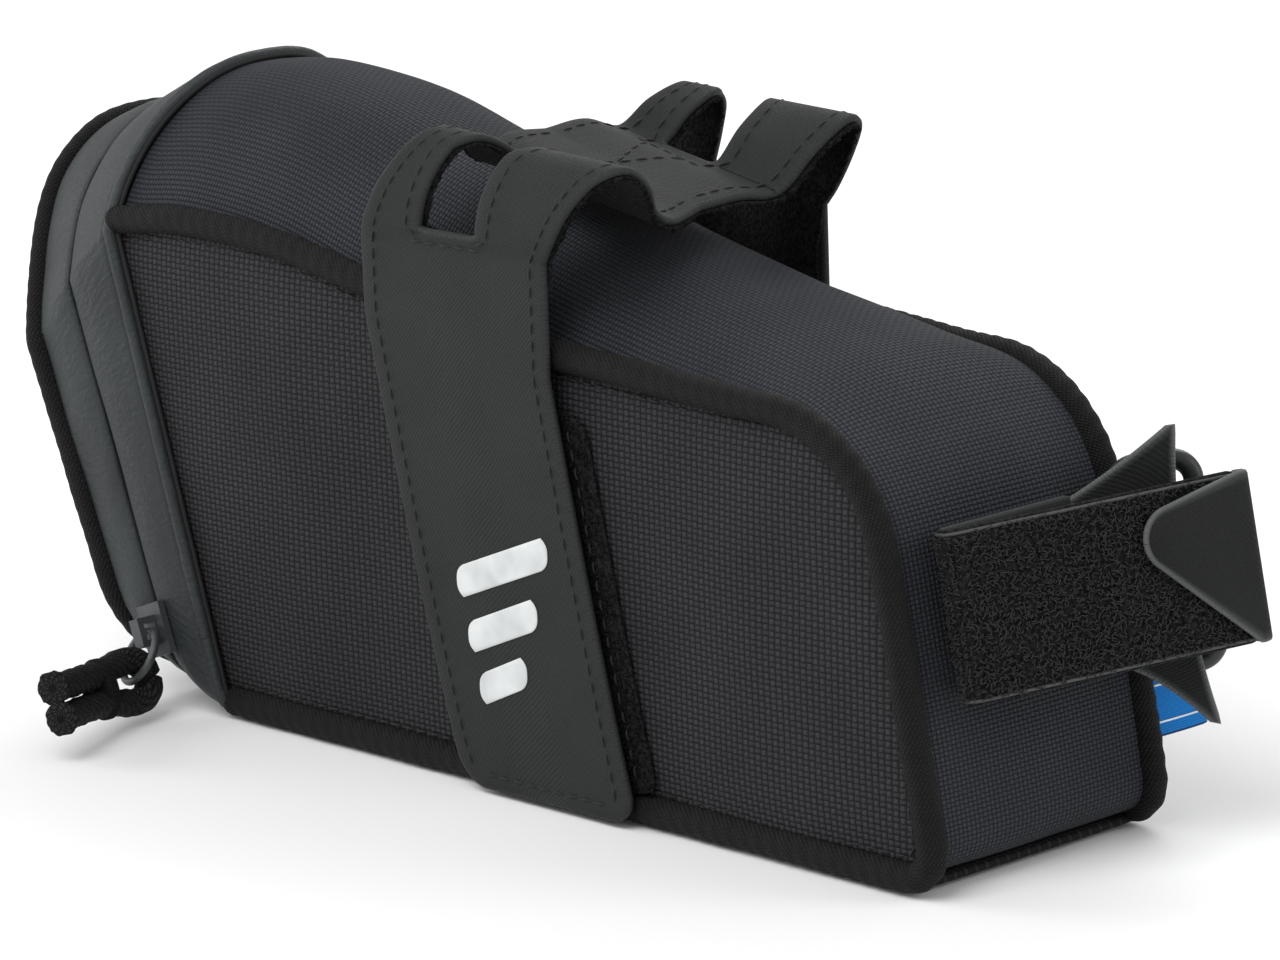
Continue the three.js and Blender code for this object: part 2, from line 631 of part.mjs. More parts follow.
// Rectangular ring with rounded corners, turning in a webbing keeper round its inner bar.
const ringBar = 2.8;
const ringPitch = 12; // between the centres of its two upright bars
const ringHalf = 17;
const ringAngle = THREE.MathUtils.degToRad(42);
const ringPivot = { d: 3, y: 20.4, h: 41.5 };
{
  const rounded = (left, right, half, radius, Kind) => {
    const outline = new Kind();
    outline.moveTo(left + radius, -half);
    outline.lineTo(right - radius, -half);
    outline.quadraticCurveTo(right, -half, right, -half + radius);
    outline.lineTo(right, half - radius);
    outline.quadraticCurveTo(right, half, right - radius, half);
    outline.lineTo(left + radius, half);
    outline.quadraticCurveTo(left, half, left, half - radius);
    outline.lineTo(left, -half + radius);
    outline.quadraticCurveTo(left, -half, left + radius, -half);
    return outline;
  };
  const bar = ringBar / 2;
  const outline = rounded(-bar, ringPitch + bar, ringHalf, 4, THREE.Shape);
  outline.holes.push(rounded(bar, ringPitch - bar, ringHalf - ringBar, 1.6, THREE.Path));
  add('strap_ring', 'plastic', extruded(outline, ringBar, (t, h, depth) => onFace(
    ringPivot.d + t * Math.sin(ringAngle) + (depth - bar) * Math.cos(ringAngle),
    ringPivot.y + t * Math.cos(ringAngle) - (depth - bar) * Math.sin(ringAngle),
    ringPivot.h + h,
  )));
}
{
  const wrap = [];
  const wrapRadius = 2.55;
  for (let i = 0; i <= 8; i += 1) {
    const angle = lerp(-0.62 * Math.PI, 0.62 * Math.PI, i / 8);
    wrap.push([ringPivot.d + wrapRadius * Math.sin(angle), ringPivot.y + wrapRadius * Math.cos(angle)]);
  }
  const points = [[-0.95, 14.5], [-0.85, 18], ...wrap, [2.7, 17], [0.9, 15]];
  add('ring_keeper', 'strap', alongFace(points, 0.7, ringPivot.h - 9, ringPivot.h + 9, 22));
}

// Small woven label folded into the left front seam.
add('side_label', 'label', sheet(1, 1, (u, v, w) => onFace(
  lerp(-2.4, -1.4, w), lerp(halfWidth(76) + pipingRadius + 0.4, 37, u), lerp(14.5, 24, v),
)));

export default bag;
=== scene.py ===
# Saddle bag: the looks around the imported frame. Shapes are worked out in millimetres and
# written to the meshes in metres.
import math
import bpy
import numpy as np
from mathutils import Matrix, Vector, noise


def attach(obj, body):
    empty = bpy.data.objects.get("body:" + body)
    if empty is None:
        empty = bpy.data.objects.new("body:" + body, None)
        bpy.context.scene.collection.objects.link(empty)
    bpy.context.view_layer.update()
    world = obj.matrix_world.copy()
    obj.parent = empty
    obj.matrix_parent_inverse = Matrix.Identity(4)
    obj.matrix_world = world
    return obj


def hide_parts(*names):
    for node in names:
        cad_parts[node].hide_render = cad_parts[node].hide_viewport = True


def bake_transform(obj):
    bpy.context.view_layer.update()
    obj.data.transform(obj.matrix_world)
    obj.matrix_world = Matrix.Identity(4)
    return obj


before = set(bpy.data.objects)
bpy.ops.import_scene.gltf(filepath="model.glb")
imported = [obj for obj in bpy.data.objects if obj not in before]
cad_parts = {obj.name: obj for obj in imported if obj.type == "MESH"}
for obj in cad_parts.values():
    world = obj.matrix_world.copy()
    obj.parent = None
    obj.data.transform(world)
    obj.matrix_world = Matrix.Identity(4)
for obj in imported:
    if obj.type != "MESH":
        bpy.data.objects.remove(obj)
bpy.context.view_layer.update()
MM = 0.001

# ---------------------------------------------------------------- camera and light


def camera_and_lights():
    azimuth = math.radians(47.7)
    elevation = math.radians(13.4)
    roll = math.radians(1.9)
    target = Vector((-10.6, 0, 45.7)) * MM
    distance = 0.899
    look = Vector((-math.sin(azimuth) * math.cos(elevation), math.cos(azimuth) * math.cos(elevation),
                   -math.sin(elevation)))
    right = Vector((math.cos(azimuth), math.sin(azimuth), 0))
    up = right.cross(look)
    right_rolled = math.cos(roll) * right - math.sin(roll) * up
    up_rolled = right_rolled.cross(look)
    data = bpy.data.cameras.new("camera")
    data.lens = 157.9
    data.clip_start = 0.01
    data.clip_end = 20
    camera = bpy.data.objects.new("camera", data)
    turn = Matrix((right_rolled, up_rolled, -look)).transposed()
    camera.matrix_world = Matrix.Translation(target - look * distance) @ turn.to_4x4()
    bpy.context.scene.collection.objects.link(camera)
    bpy.context.scene.camera = camera

    def area(name, place, size, power):
        light = bpy.data.lights.new(name, "AREA")
        light.shape = "RECTANGLE"
        light.size = size[0]
        light.size_y = size[1]
        light.energy = power
        lamp = bpy.data.objects.new(name, light)
        lamp.location = place
        lamp.rotation_euler = (target - Vector(place)).to_track_quat("-Z", "Y").to_euler()
        bpy.context.scene.collection.objects.link(lamp)

    area("key", (0.15, -0.75, 1.05), (0.8, 0.8), 9)
    area("left_strip", (-1.0, -0.6, 0.5), (0.5, 0.9), 5)
    area("right_strip", (0.95, 0.6, 0.6), (0.5, 0.8), 3)
    area("back", (-0.5, 0.9, 0.9), (0.8, 0.6), 6)
    world = bpy.data.worlds.new("studio")
    world.use_nodes = True
    sky = world.node_tree.nodes["Background"]
    sky.inputs["Color"].default_value = (1, 1, 1, 1)
    sky.inputs["Strength"].default_value = 0.62
    bpy.context.scene.world = world
    bpy.context.scene.view_settings.view_transform = "Standard"


# ---------------------------------------------------------------- materials


class Shader:
    """A material and short ways to add nodes to it."""

    def __init__(self, name, rough=0.8, sheen=0.0, metal=0.0, specular=0.4):
        self.material = bpy.data.materials.new(name)
        self.material.use_nodes = True
        self.tree = self.material.node_tree
        self.surface = self.tree.nodes["Principled BSDF"]
        self.surface.inputs["Roughness"].default_value = rough
        self.surface.inputs["Metallic"].default_value = metal
        self.surface.inputs["Specular IOR Level"].default_value = specular
        self.surface.inputs["Sheen Weight"].default_value = sheen
        self.surface.inputs["Sheen Roughness"].default_value = 0.5

    def node(self, kind, **values):
        made = self.tree.nodes.new(kind)
        for key, value in values.items():
            setattr(made, key, value)
        return made

    def link(self, source, target):
        self.tree.links.new(source, target)

    def math(self, operation, a, b=None):
        made = self.node("ShaderNodeMath", operation=operation)
        for i, value in enumerate((a, b)):
            if value is None:
                continue
            if isinstance(value, (int, float)):
                made.inputs[i].default_value = value
            else:
                self.link(value, made.inputs[i])
        return made.outputs[0]

    def noise(self, vector, scale, detail=3.0):
        made = self.node("ShaderNodeTexNoise")
        made.inputs["Scale"].default_value = scale
        made.inputs["Detail"].default_value = detail
        self.link(vector, made.inputs["Vector"])
        return made.outputs["Fac"]

    def ramp(self, factor, stops):
        made = self.node("ShaderNodeValToRGB")
        line = made.color_ramp
        while len(line.elements) < len(stops):
            line.elements.new(0.5)
        for element, (place, color) in zip(line.elements, stops):
            element.position = place
            element.color = (*color, 1)
        self.link(factor, made.inputs["Fac"])
        return made.outputs["Color"]

    def mix(self, factor, a, b, blend="MIX"):
        made = self.node("ShaderNodeMix", data_type="RGBA", blend_type=blend)
        for place, value in ((0, factor), (6, a), (7, b)):
            if isinstance(value, (int, float)):
                made.inputs[place].default_value = value
            elif isinstance(value, tuple):
                made.inputs[place].default_value = (*value, 1)
            else:
                self.link(value, made.inputs[place])
        return made.outputs[2]

    def color(self, source):
        self.link(source, self.surface.inputs["Base Color"])

    def roughness(self, factor, low, high):
        spread = self.node("ShaderNodeMapRange")
        spread.inputs["To Min"].default_value = low
        spread.inputs["To Max"].default_value = high
        self.link(factor, spread.inputs["Value"])
        self.link(spread.outputs[0], self.surface.inputs["Roughness"])

    def bump(self, height, depth_mm, strength=1.0, under=None):
        made = self.node("ShaderNodeBump")
        made.inputs["Strength"].default_value = strength
        made.inputs["Distance"].default_value = depth_mm * MM
        self.link(height, made.inputs["Height"])
        if under is not None:
            self.link(under, made.inputs["Normal"])
        self.link(made.outputs[0], self.surface.inputs["Normal"])
        return made.outputs[0]

    def place(self):
        return self.node("ShaderNodeTexCoord").outputs["Object"]

    def cloth_uv(self, turn=0.0, stretch=(1, 1)):
        """The cloth's own coordinates in millimetres, turned by an angle in degrees."""
        made = self.node("ShaderNodeMapping")
        made.inputs["Rotation"].default_value = (0, 0, math.radians(turn))
        made.inputs["Scale"].default_value = (*stretch, 1)
        self.link(self.node("ShaderNodeUVMap", uv_map="cloth").outputs[0], made.inputs["Vector"])
        return made.outputs[0]

    def weave(self, vector, cell):
        """(height, parity) of a plain weave: oval threads that pass over and under."""
        parts = self.node("ShaderNodeSeparateXYZ")
        self.link(vector, parts.inputs[0])
        waves = []
        floors = []
        for axis, size in zip("XY", cell):
            scaled = self.math("DIVIDE", parts.outputs[axis], size)
            floors.append(self.math("FLOOR", scaled))
            turned = self.math("MULTIPLY", self.math("FRACT", scaled), math.pi)
            waves.append(self.math("SINE", turned))
        total = self.math("ADD", *floors)
        parity = self.math("FLOORED_MODULO", total, 2.0)
        across = self.math("MULTIPLY", self.math("POWER", waves[0], 0.35), waves[1])
        along = self.math("MULTIPLY", self.math("POWER", waves[1], 0.35), waves[0])
        back = self.math("SUBTRACT", 1.0, parity)
        height = self.math("ADD", self.math("MULTIPLY", across, parity), self.math("MULTIPLY", along, back))
        return height, parity


def woven(name, dark, light, cell, depth, rough=0.72, sheen=0.01, turn=0.0):
    s = Shader(name, rough, sheen, specular=0.14)
    height, parity = s.weave(s.cloth_uv(turn), cell)
    # The thread colour follows the weave's height: painted shade in the gaps between threads and a painted
    # highlight on their crowns.
    thread = s.ramp(height, [(0.0, tuple(c * 0.22 for c in dark)), (0.32, dark), (0.8, light)])
    # One direction of threads is mixed a quarter of the way to a darker tone: a painted highlight on the
    # other direction.
    other = s.mix(s.math("MULTIPLY", parity, 0.25), thread, tuple(c * 0.75 for c in dark))
    cloudy = s.ramp(s.noise(s.place(), 55, 4), [(0.3, (0.82, 0.82, 0.84)), (0.7, (1.08, 1.08, 1.08))])
    s.color(s.mix(1.0, other, cloudy, "MULTIPLY"))
    fine = s.noise(s.place(), 4200, 2)
    s.roughness(fine, rough - 0.1, min(1.0, rough + 0.12))
    s.bump(s.math("ADD", height, s.math("MULTIPLY", fine, 0.15)), depth)
    return s.material


def coated(name, base, depth=0.16, rough=0.5):
    s = Shader(name, rough, 0.01, specular=0.26)
    grain = s.noise(s.place(), 1500, 5)
    creases = s.noise(s.cloth_uv(stretch=(0.25, 0.9)), 1.0, 5)
    worn = s.noise(s.place(), 38, 3)
    s.color(s.ramp(worn, [(0.3, tuple(c * 0.8 for c in base)), (0.72, tuple(c * 1.18 for c in base))]))
    s.roughness(grain, rough - 0.12, rough + 0.16)
    low = s.bump(creases, 0.28)
    s.bump(grain, depth, under=low)
    return s.material


def strap_face(name, base, edge, rough=0.62):
    """A smooth laminate with a faint twill, with painted shade and highlight on the twill and a paler painted
    rim light on its edges.
    """
    s = Shader(name, rough, 0.01, specular=0.2)
    height, _ = s.weave(s.cloth_uv(45), (0.55, 0.3))
    fine = s.noise(s.place(), 2600, 3)
    tone = s.noise(s.place(), 70, 3)
    face = s.ramp(tone, [(0.3, tuple(c * 0.86 for c in base)), (0.7, tuple(c * 1.12 for c in base))])
    # rim masks the painted rim light: the edge colour is mixed in along the strap's rounded edges.
    rim = s.node("ShaderNodeAttribute", attribute_name="rim").outputs["Fac"]
    # The twill's height paints shade in its grooves and a highlight on its ribs.
    painted_rib_shading = s.ramp(height, [(0.0, (0.72, 0.72, 0.72)), (0.7, (1.12, 1.12, 1.12))])
    s.color(s.mix(rim, s.mix(1.0, face, painted_rib_shading, "MULTIPLY"), edge))
    s.roughness(fine, rough - 0.1, rough + 0.14)
    s.bump(s.math("ADD", height, s.math("MULTIPLY", fine, 0.5)), 0.09)
    return s.material


def pile(name, base):
    s = Shader(name, 0.95, 0.02, specular=0.08)
    tufts = s.noise(s.place(), 1500, 6)
    s.color(s.ramp(tufts, [(0.38, tuple(c * 0.35 for c in base)), (0.64, tuple(c * 1.7 for c in base))]))
    s.bump(tufts, 0.6)
    return s.material


def moulded(name, base, rough, grain=0.02, metal=0.0):
    s = Shader(name, rough, metal=metal)
    fine = s.noise(s.place(), 2200, 4)
    broad = s.noise(s.place(), 160, 2)
    s.color(s.ramp(broad, [(0.3, tuple(c * 0.85 for c in base)), (0.7, tuple(c * 1.12 for c in base))]))
    s.roughness(fine, rough - 0.08, rough + 0.14)
    s.bump(fine, grain)
    return s.material


BRAID_TURN = 38  # degrees between a roll's or cord's length and its threads


def make_materials():
    return {
        "side_fabric": woven("side_fabric", (0.015, 0.015, 0.017), (0.034, 0.034, 0.038), (1.25, 0.95), 0.34),
        "top_fabric": woven("top_fabric", (0.019, 0.021, 0.026), (0.04, 0.044, 0.052), (0.88, 0.7), 0.26),
        "coated_fabric": coated("coated_fabric", (0.027, 0.0312, 0.033)),
        "piping": woven("piping", (0.006, 0.0058, 0.0057), (0.0135, 0.013, 0.0127), (0.62, 0.42), 0.16,
                        turn=BRAID_TURN),
        # The second colour of strap_face and strap_tip is a painted rim light on their edges.
        "strap_face": strap_face("strap_face", (0.0165, 0.0178, 0.018), (0.026, 0.0275, 0.0275)),
        "strap_tip": strap_face("strap_tip", (0.0095, 0.0102, 0.0104), (0.1, 0.105, 0.105)),
        "worn_edge": moulded("worn_edge", (0.055, 0.057, 0.058), 0.7),
        "pile_thread": moulded("pile_thread", (0.022, 0.0215, 0.023), 0.85),
        "hook_loop": pile("hook_loop", (0.0115, 0.011, 0.0118)),
        "zip_tape": woven("zip_tape", (0.006, 0.006, 0.007), (0.02, 0.02, 0.021), (0.4, 0.4), 0.06),
        "zip_coil": moulded("zip_coil", (0.012, 0.012, 0.013), 0.4),
        "slider_metal": moulded("slider_metal", (0.06, 0.065, 0.068), 0.38, metal=0.35),
        "cord": woven("cord", (0.006, 0.006, 0.0065), (0.024, 0.024, 0.0245), (1.15, 0.62), 0.3,
                      turn=BRAID_TURN),
        "ring_plastic": moulded("ring_plastic", (0.02, 0.0215, 0.022), 0.36),
        "webbing": woven("webbing", (0.011, 0.011, 0.012), (0.03, 0.03, 0.032), (1.1, 0.45), 0.15),
        "label_cloth": woven("label_cloth", (0.006, 0.15, 0.5), (0.012, 0.24, 0.68), (0.35, 0.35), 0.05),
        "stiffener": moulded("stiffener", (0.04, 0.04, 0.04), 0.6, 0.05),
        "thread": moulded("thread", (0.008, 0.008, 0.008), 0.7),
        "reflective": moulded("reflective", (0.6, 0.62, 0.62), 0.6, 0.01),
        "label_line": moulded("label_line", (0.75, 0.8, 0.85), 0.7, 0.02),
    }


# ---------------------------------------------------------------- mesh helpers


def unit(v):
    size = np.linalg.norm(v, axis=-1, keepdims=True)
    return v / np.maximum(size, 1e-9)


def catmull(points, at):
    """Points on a Catmull-Rom curve, at from 0 to 1 evenly over its spans."""
    points = np.asarray(points, float)
    at = np.atleast_1d(np.asarray(at, float)) * (len(points) - 1)
    padded = np.vstack([2 * points[0] - points[1], points, 2 * points[-1] - points[-2]])
    k = np.clip(at.astype(int), 0, len(points) - 2)
    f = (at - k)[:, None]
    a, b, c, d = (padded[k + i] for i in range(4))
    return 0.5 * (2 * b + (c - a) * f + (2 * a - 5 * b + 4 * c - d) * f**2 + (3 * b - a - 3 * c + d) * f**3)


def run_along(line):
    """How far along a polyline each of its points lies."""
    return np.concatenate([[0], np.cumsum(np.linalg.norm(np.diff(line, axis=0), axis=1))])


def even(line, count):
    """The polyline again as count points at equal distances."""
    line = np.asarray(line, float)
    run = run_along(line)
    at = np.linspace(0, run[-1], count)
    return np.stack([np.interp(at, run, line[:, i]) for i in range(line.shape[1])], 1)


def even_loop(line, count):
    """A closed line, given without its last point again, as count points at equal distances."""
    return even(np.vstack([line, line[:1]]), count + 1)[:-1]


def length_of(line):
    return float(np.linalg.norm(np.diff(np.asarray(line, float), axis=0), axis=1).sum())


class Skin:
    """Vertices in millimetres, faces, the cloth coordinates of each face's corners and the rim weights, which
    mask the painted rim light of the strap materials.
    """

    def __init__(self):
        self.points = []
        self.faces = []
        self.uv = []
        self.rim = []
        self.count = 0

    def add(self, points, faces, uv, rim=0.0):
        start = self.count
        points = np.asarray(points, float)
        self.points.append(points)
        self.count += len(points)
        self.rim.append(np.full(len(points), rim) if np.isscalar(rim) else np.asarray(rim, float))
        self.faces += [[start + k for k in face] for face in faces]
        self.uv += uv

    def merge(self, part):
        self.add(np.concatenate(part.points), part.faces, part.uv)

    def piece(self, name, material):
        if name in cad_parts:
            name += "_look"
        mesh = bpy.data.meshes.new(name)
        points = np.concatenate(self.points) * MM
        mesh.from_pydata(points.tolist(), [], self.faces)
        layer = mesh.uv_layers.new(name="cloth")
        corners = [corner for face in self.uv for corner in face]
        layer.data.foreach_set("uv", np.asarray(corners, np.float32).ravel())
        # The rim weights go on as an attribute, the mask of the painted rim light.
        rim = mesh.attributes.new("rim", "FLOAT", "POINT")
        rim.data.foreach_set("value", np.concatenate(self.rim).astype(np.float32))
        mesh.validate()
        mesh.materials.append(materials[material])
        mesh.shade_smooth()
        made = bpy.data.objects.new(name, mesh)
        bpy.context.scene.collection.objects.link(made)
        return made


def grid_faces(rows, cols, wrap_rows=False, wrap_cols=False):
    faces = []
    for i in range(rows if wrap_rows else rows - 1):
        for j in range(cols if wrap_cols else cols - 1):
            faces.append(((i, j), (i + 1, j), (i + 1, j + 1), (i, j + 1)))
    return faces


def grid(points, wrap_rows=False, wrap_cols=False, skip=None, uv=None):
    """(points, faces, corner coordinates) of a rows x cols grid, with coordinates along and across it."""
    points = np.asarray(points, float)
    rows, cols = points.shape[:2]
    if uv is None:
        down = np.linalg.norm(np.diff(points[:, cols // 2], axis=0), axis=1)
        side = np.linalg.norm(np.diff(points[rows // 2], axis=0), axis=1)
        u = np.concatenate([[0], np.cumsum(down), [down.sum() + down.mean()]])
        v = np.concatenate([[0], np.cumsum(side), [side.sum() + side.mean()]])
        corner = lambda i, j: (v[j], u[i])
    else:
        corner = lambda i, j: tuple(uv[i % rows][j % cols])
    faces = []
    corners = []
    for face in grid_faces(rows, cols, wrap_rows, wrap_cols):
        if skip is not None and skip(face[0][0], face[0][1]):
            continue
        faces.append([(i % rows) * cols + j % cols for i, j in face])
        corners.append([corner(i, j) for i, j in face])
    return points.reshape(-1, 3), faces, corners


def thick(surface, thickness, rim_steps=3, cut_at=0):
    """A closed skin around an open surface: both faces, and a rounded rim along every free edge.

    The first cut_at points are an edge in the plane y = 0 that stays flat, to meet another half there.
    """
    points, faces, uv = surface
    faces = np.asarray(faces)
    normal = np.zeros_like(points)
    a, b, c, d = (points[faces[:, k]] for k in range(4))
    face_normal = np.cross(c - a, d - b)
    for k in range(4):
        np.add.at(normal, faces[:, k], face_normal)
    normal = unit(normal)
    edge_uv = {}
    counts = {}
    for face, corners in zip(faces.tolist(), uv):
        for k in range(4):
            key = (face[k], face[(k + 1) % 4])
            edge_uv[key] = (corners[k], corners[(k + 1) % 4])
            counts[frozenset(key)] = counts.get(frozenset(key), 0) + 1
    free = [key for key in edge_uv if counts[frozenset(key)] == 1]
    flat = [key for key in free if max(key) < cut_at]
    free = [key for key in free if max(key) >= cut_at]
    normal[:cut_at, 1] = 0
    normal = unit(normal)
    outward = np.zeros_like(points)
    for p, q in free:
        along = points[q] - points[p]
        away = np.cross(along, normal[p])
        outward[p] += away
        outward[q] += away
    outward = unit(outward)
    half = thickness / 2
    used = np.unique(faces)
    renumber = {old: new for new, old in enumerate(used.tolist())}
    skin = Skin()
    top = points[used] + normal[used] * half
    low = points[used] - normal[used] * half
    on_edge = np.zeros(len(points))
    on_edge[[p for key in free for p in key]] = 1
    shown = [[renumber[k] for k in face] for face in faces.tolist()]
    # Points on free edges get rim weight 0.35 and the rim rows get 1: the mask of the painted rim light.
    skin.add(top, shown, uv, on_edge[used] * 0.35)
    skin.add(low, [face[::-1] for face in shown], [corner[::-1] for corner in uv], on_edge[used] * 0.35)
    order = sorted({p for key in free for p in key})
    at = {p: k for k, p in enumerate(order)}
    rows = []
    total = len(used)
    levels = [[renumber[p] for p in order]]
    start = skin.count
    for step in range(1, rim_steps + 1):
        angle = math.pi * step / (rim_steps + 1)
        lifted = points[order] + normal[order] * half * math.cos(angle)
        rows.append(lifted + outward[order] * half * math.sin(angle))
        levels.append([start + (step - 1) * len(order) + k for k in range(len(order))])
    levels.append([total + renumber[p] for p in order])
    rim_faces = []
    rim_uv = []
    for high, low_row in zip(levels[:-1], levels[1:]):
        for p, q in free:
            rim_faces.append([high[at[p]], low_row[at[p]], low_row[at[q]], high[at[q]]])
            first, second = edge_uv[(p, q)]
            rim_uv.append([first, first, second, second])
    skin.points.append(np.concatenate(rows))
    skin.count += sum(len(row) for row in rows)
    skin.rim.append(np.ones(sum(len(row) for row in rows)))
    skin.faces += rim_faces
    skin.uv += rim_uv
    for p, q in flat:
        ends = [top[renumber[p]], low[renumber[p]], low[renumber[q]], top[renumber[q]]]
        first, second = edge_uv[(p, q)]
        skin.add(ends, [[0, 1, 2, 3]], [[first, first, second, second]])
    return skin


def frames_along(line):
    """Tangents and two crosswise directions that don't twist along a line."""
    tangent = unit(np.gradient(line, axis=0))
    side = np.zeros_like(line)
    start = np.array([0.0, 1.0, 0.0]) if abs(tangent[0][1]) < 0.9 else np.array([1.0, 0.0, 0.0])
    side[0] = unit(start - tangent[0] * start.dot(tangent[0]))
    for i in range(1, len(line)):
        side[i] = unit(side[i - 1] - tangent[i] * side[i - 1].dot(tangent[i]))
    return tangent, side, np.cross(tangent, side)


def around(first, second, angles):
    """Directions at the angles between two crosswise directions, for each point of a line."""
    across = np.cos(angles)[None, :, None]
    upward = np.sin(angles)[None, :, None]
    return first[:, None] * across + second[:, None] * upward


def capped(tube, sides):
    """A tube as grid gives it, with a cap on both ends."""
    flat, faces, uv = tube
    last = len(flat) - sides
    caps = [list(range(sides)), [last + k for k in range(sides)][::-1]]
    spot = [(0.0, 0.0)] * sides
    return flat, faces + caps, uv + [spot, spot]


def tube_skin(line, radius, sides=16, closed=False, shape=None, round_ends=0.7):
    """A round tube along a line. shape(i, angle, run) gives the radius as a factor."""
    line = np.asarray(line, float)
    _, side, other = frames_along(line)
    run = run_along(line)
    angles = np.arange(sides) * 2 * math.pi / sides
    factor = np.ones((len(line), sides))
    if shape is not None:
        factor = np.array([[shape(i, angle, run[i]) for angle in angles] for i in range(len(line))])
    points = line[:, None] + around(side, other, angles) * radius * factor[..., None]
    if not closed:
        tangent = unit(np.gradient(line, axis=0))
        heads = []
        tails = []
        for step in (0.45, 0.8, 0.97):
            shrink = math.sqrt(1 - step**2)
            reach = round_ends * radius * step
            heads.append(line[0] - tangent[0] * reach + (points[0] - line[0]) * shrink)
            tails.append(line[-1] + tangent[-1] * reach + (points[-1] - line[-1]) * shrink)
        points = np.concatenate([np.array(heads[::-1]), points, np.array(tails)])
    tube = grid(points, wrap_rows=closed, wrap_cols=True)
    skin = Skin()
    skin.add(*(tube if closed else capped(tube, sides)))
    return skin


def capsules(skin, starts, ends, radius, lift=None, sides=6):
    """Many short round-ended stitches, from starts to ends, bowed up by lift."""
    starts = np.asarray(starts, float)
    ends = np.asarray(ends, float)
    along = unit(ends - starts)
    up = np.tile([0.0, 0.0, 1.0], (len(starts), 1)) if lift is None else np.asarray(lift, float)
    up = unit(up - along * (up * along).sum(1, keepdims=True))
    side = np.cross(along, up)
    share = np.array([0.0, 0.12, 0.35, 0.65, 0.88, 1.0])
    width = np.array([0.35, 0.85, 1.0, 1.0, 0.85, 0.35])
    bow = np.array([-1.0, -0.35, 0.15, 0.15, -0.35, -1.0])
    angles = np.arange(sides) * 2 * math.pi / sides
    straight = starts[:, None] + (ends - starts)[:, None] * share[None, :, None]
    middle = straight + up[:, None] * (bow * radius)[None, :, None]
    ringed = around(side, up, angles)
    points = middle[:, :, None] + ringed[:, None] * (width * radius)[None, :, None, None]
    for stitch in points:
        skin.add(*capped(grid(stitch, wrap_cols=True), sides))


def stitch_row(skin, line, normals, length=2.3, gap=0.5, radius=0.24):
    """A row of stitches along a line that lies on a surface."""
    line = np.asarray(line, float)
    normals = np.asarray(normals, float)
    total = length_of(line)
    count = max(1, int(total / (length + gap)))
    run = run_along(line)
    pitch = total / count
    firsts = np.arange(count) * pitch + gap / 2
    at = lambda where, data: np.stack([np.interp(where, run, data[:, i]) for i in range(3)], 1)
    starts = at(firsts, line)
    ends = at(firsts + pitch - gap, line)
    capsules(skin, starts, ends, radius, at(firsts + pitch / 2, normals))


def wobble(points, scale_mm, seed=0.0):
    """Smooth noise from -1 to 1 at each point."""
    flat = np.asarray(points, float).reshape(-1, 3) / scale_mm + seed
    values = [noise.noise(Vector(p)) for p in flat.tolist()]
    return np.array(values).reshape(np.asarray(points).shape[:-1])


def surface_normals(points):
    du = np.gradient(points, axis=0)
    dv = np.gradient(points, axis=1)
    return unit(np.cross(du, dv))


def tufts(skin, place, count, seed, size=0.5, wire=0.1):
    """Curled loops of pile. place(u, v) gives a point and the direction away from the cloth."""
    random = np.random.default_rng(seed)
    for _ in range(count):
        point, out = place(random.random(), random.random())
        out = unit(out)
        spin = random.random() * 2 * math.pi
        any_side = unit(np.cross(out, [0.31, 0.52, 0.79]))
        side = any_side * math.cos(spin) + np.cross(out, any_side) * math.sin(spin)
        lean = np.cross(out, side) * (random.random() - 0.5) * 1.2
        reach = size * (0.6 + 0.8 * random.random())
        bows = np.linspace(-0.25, 1.15, 5) * math.pi
        path = np.array([point + side * reach * math.cos(b) * 0.7
                         + (out + lean) * reach * (0.35 + 0.65 * math.sin(b)) for b in bows])
        cross = unit(np.gradient(path, axis=0))
        first = unit(np.cross(cross, out + 0.01))
        second = np.cross(cross, first)
        turns = np.arange(3) * 2 * math.pi / 3
        skin.add(*grid(path[:, None] + around(first, second, turns) * wire, wrap_cols=True))


def finish_piece(made, body, *nodes):
    """Let a piece ride on a body, and stand for the CAD nodes named after it, if any."""
    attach(made, body)
    if nodes:
        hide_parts(*nodes)
    return made


# ---------------------------------------------------------------- the bag's own lines

BASE_LENGTH = 162
FRONT_X = BASE_LENGTH / 2
REAR_X = -BASE_LENGTH / 2
PIPING = 2.2
FRONT_LEAN = math.radians(11)
REAR_LEAN = math.radians(17.2)
SEAM_FRONT = 70
SEAM_REAR = 81.5
CROWN_REAR = 23
CORNER_TOP = 24
CORNER_BASE = 5
BAND_DEPTH = 13.2
ZIP_SLOT = 1.6
LID_DEPTH = 28.6
LOW_SHARE = 0.56  # depth of collar and lid at the base, as a share of that at the top
FULL_HEIGHT = 98
STRAP = 1.4
WING_STAND = 3.1
WING_TOP = 86.4
POST_LOW = 29
POST_HIGH = 54
ROLL = 2.5  # the seam roll as it looks, a little fatter than its solid
TUCK = 1.1  # how far the panels' edges reach under the roll
CLOTH = 1.4  # thickness of the panels as they look


def half_width(x):
    return 24 + 5 * (FRONT_X - np.asarray(x, float)) / BASE_LENGTH


def front_seam_x(z):
    return FRONT_X - PIPING / math.cos(FRONT_LEAN) - math.tan(FRONT_LEAN) * z


def top_curl(z):
    return 12 * (np.maximum(0, np.asarray(z, float) - 78) / 27) ** 2


def rear_end_x(z):
    return REAR_X + 0.5 - math.tan(REAR_LEAN) * z + top_curl(z)


def crown_at(x):
    return CROWN_REAR * np.maximum(0, 1 - (np.maximum(np.asarray(x, float) + 105, 0) / 165) ** 2)


def crown_shape(across):
    return 1 - np.abs(across) ** 2.5


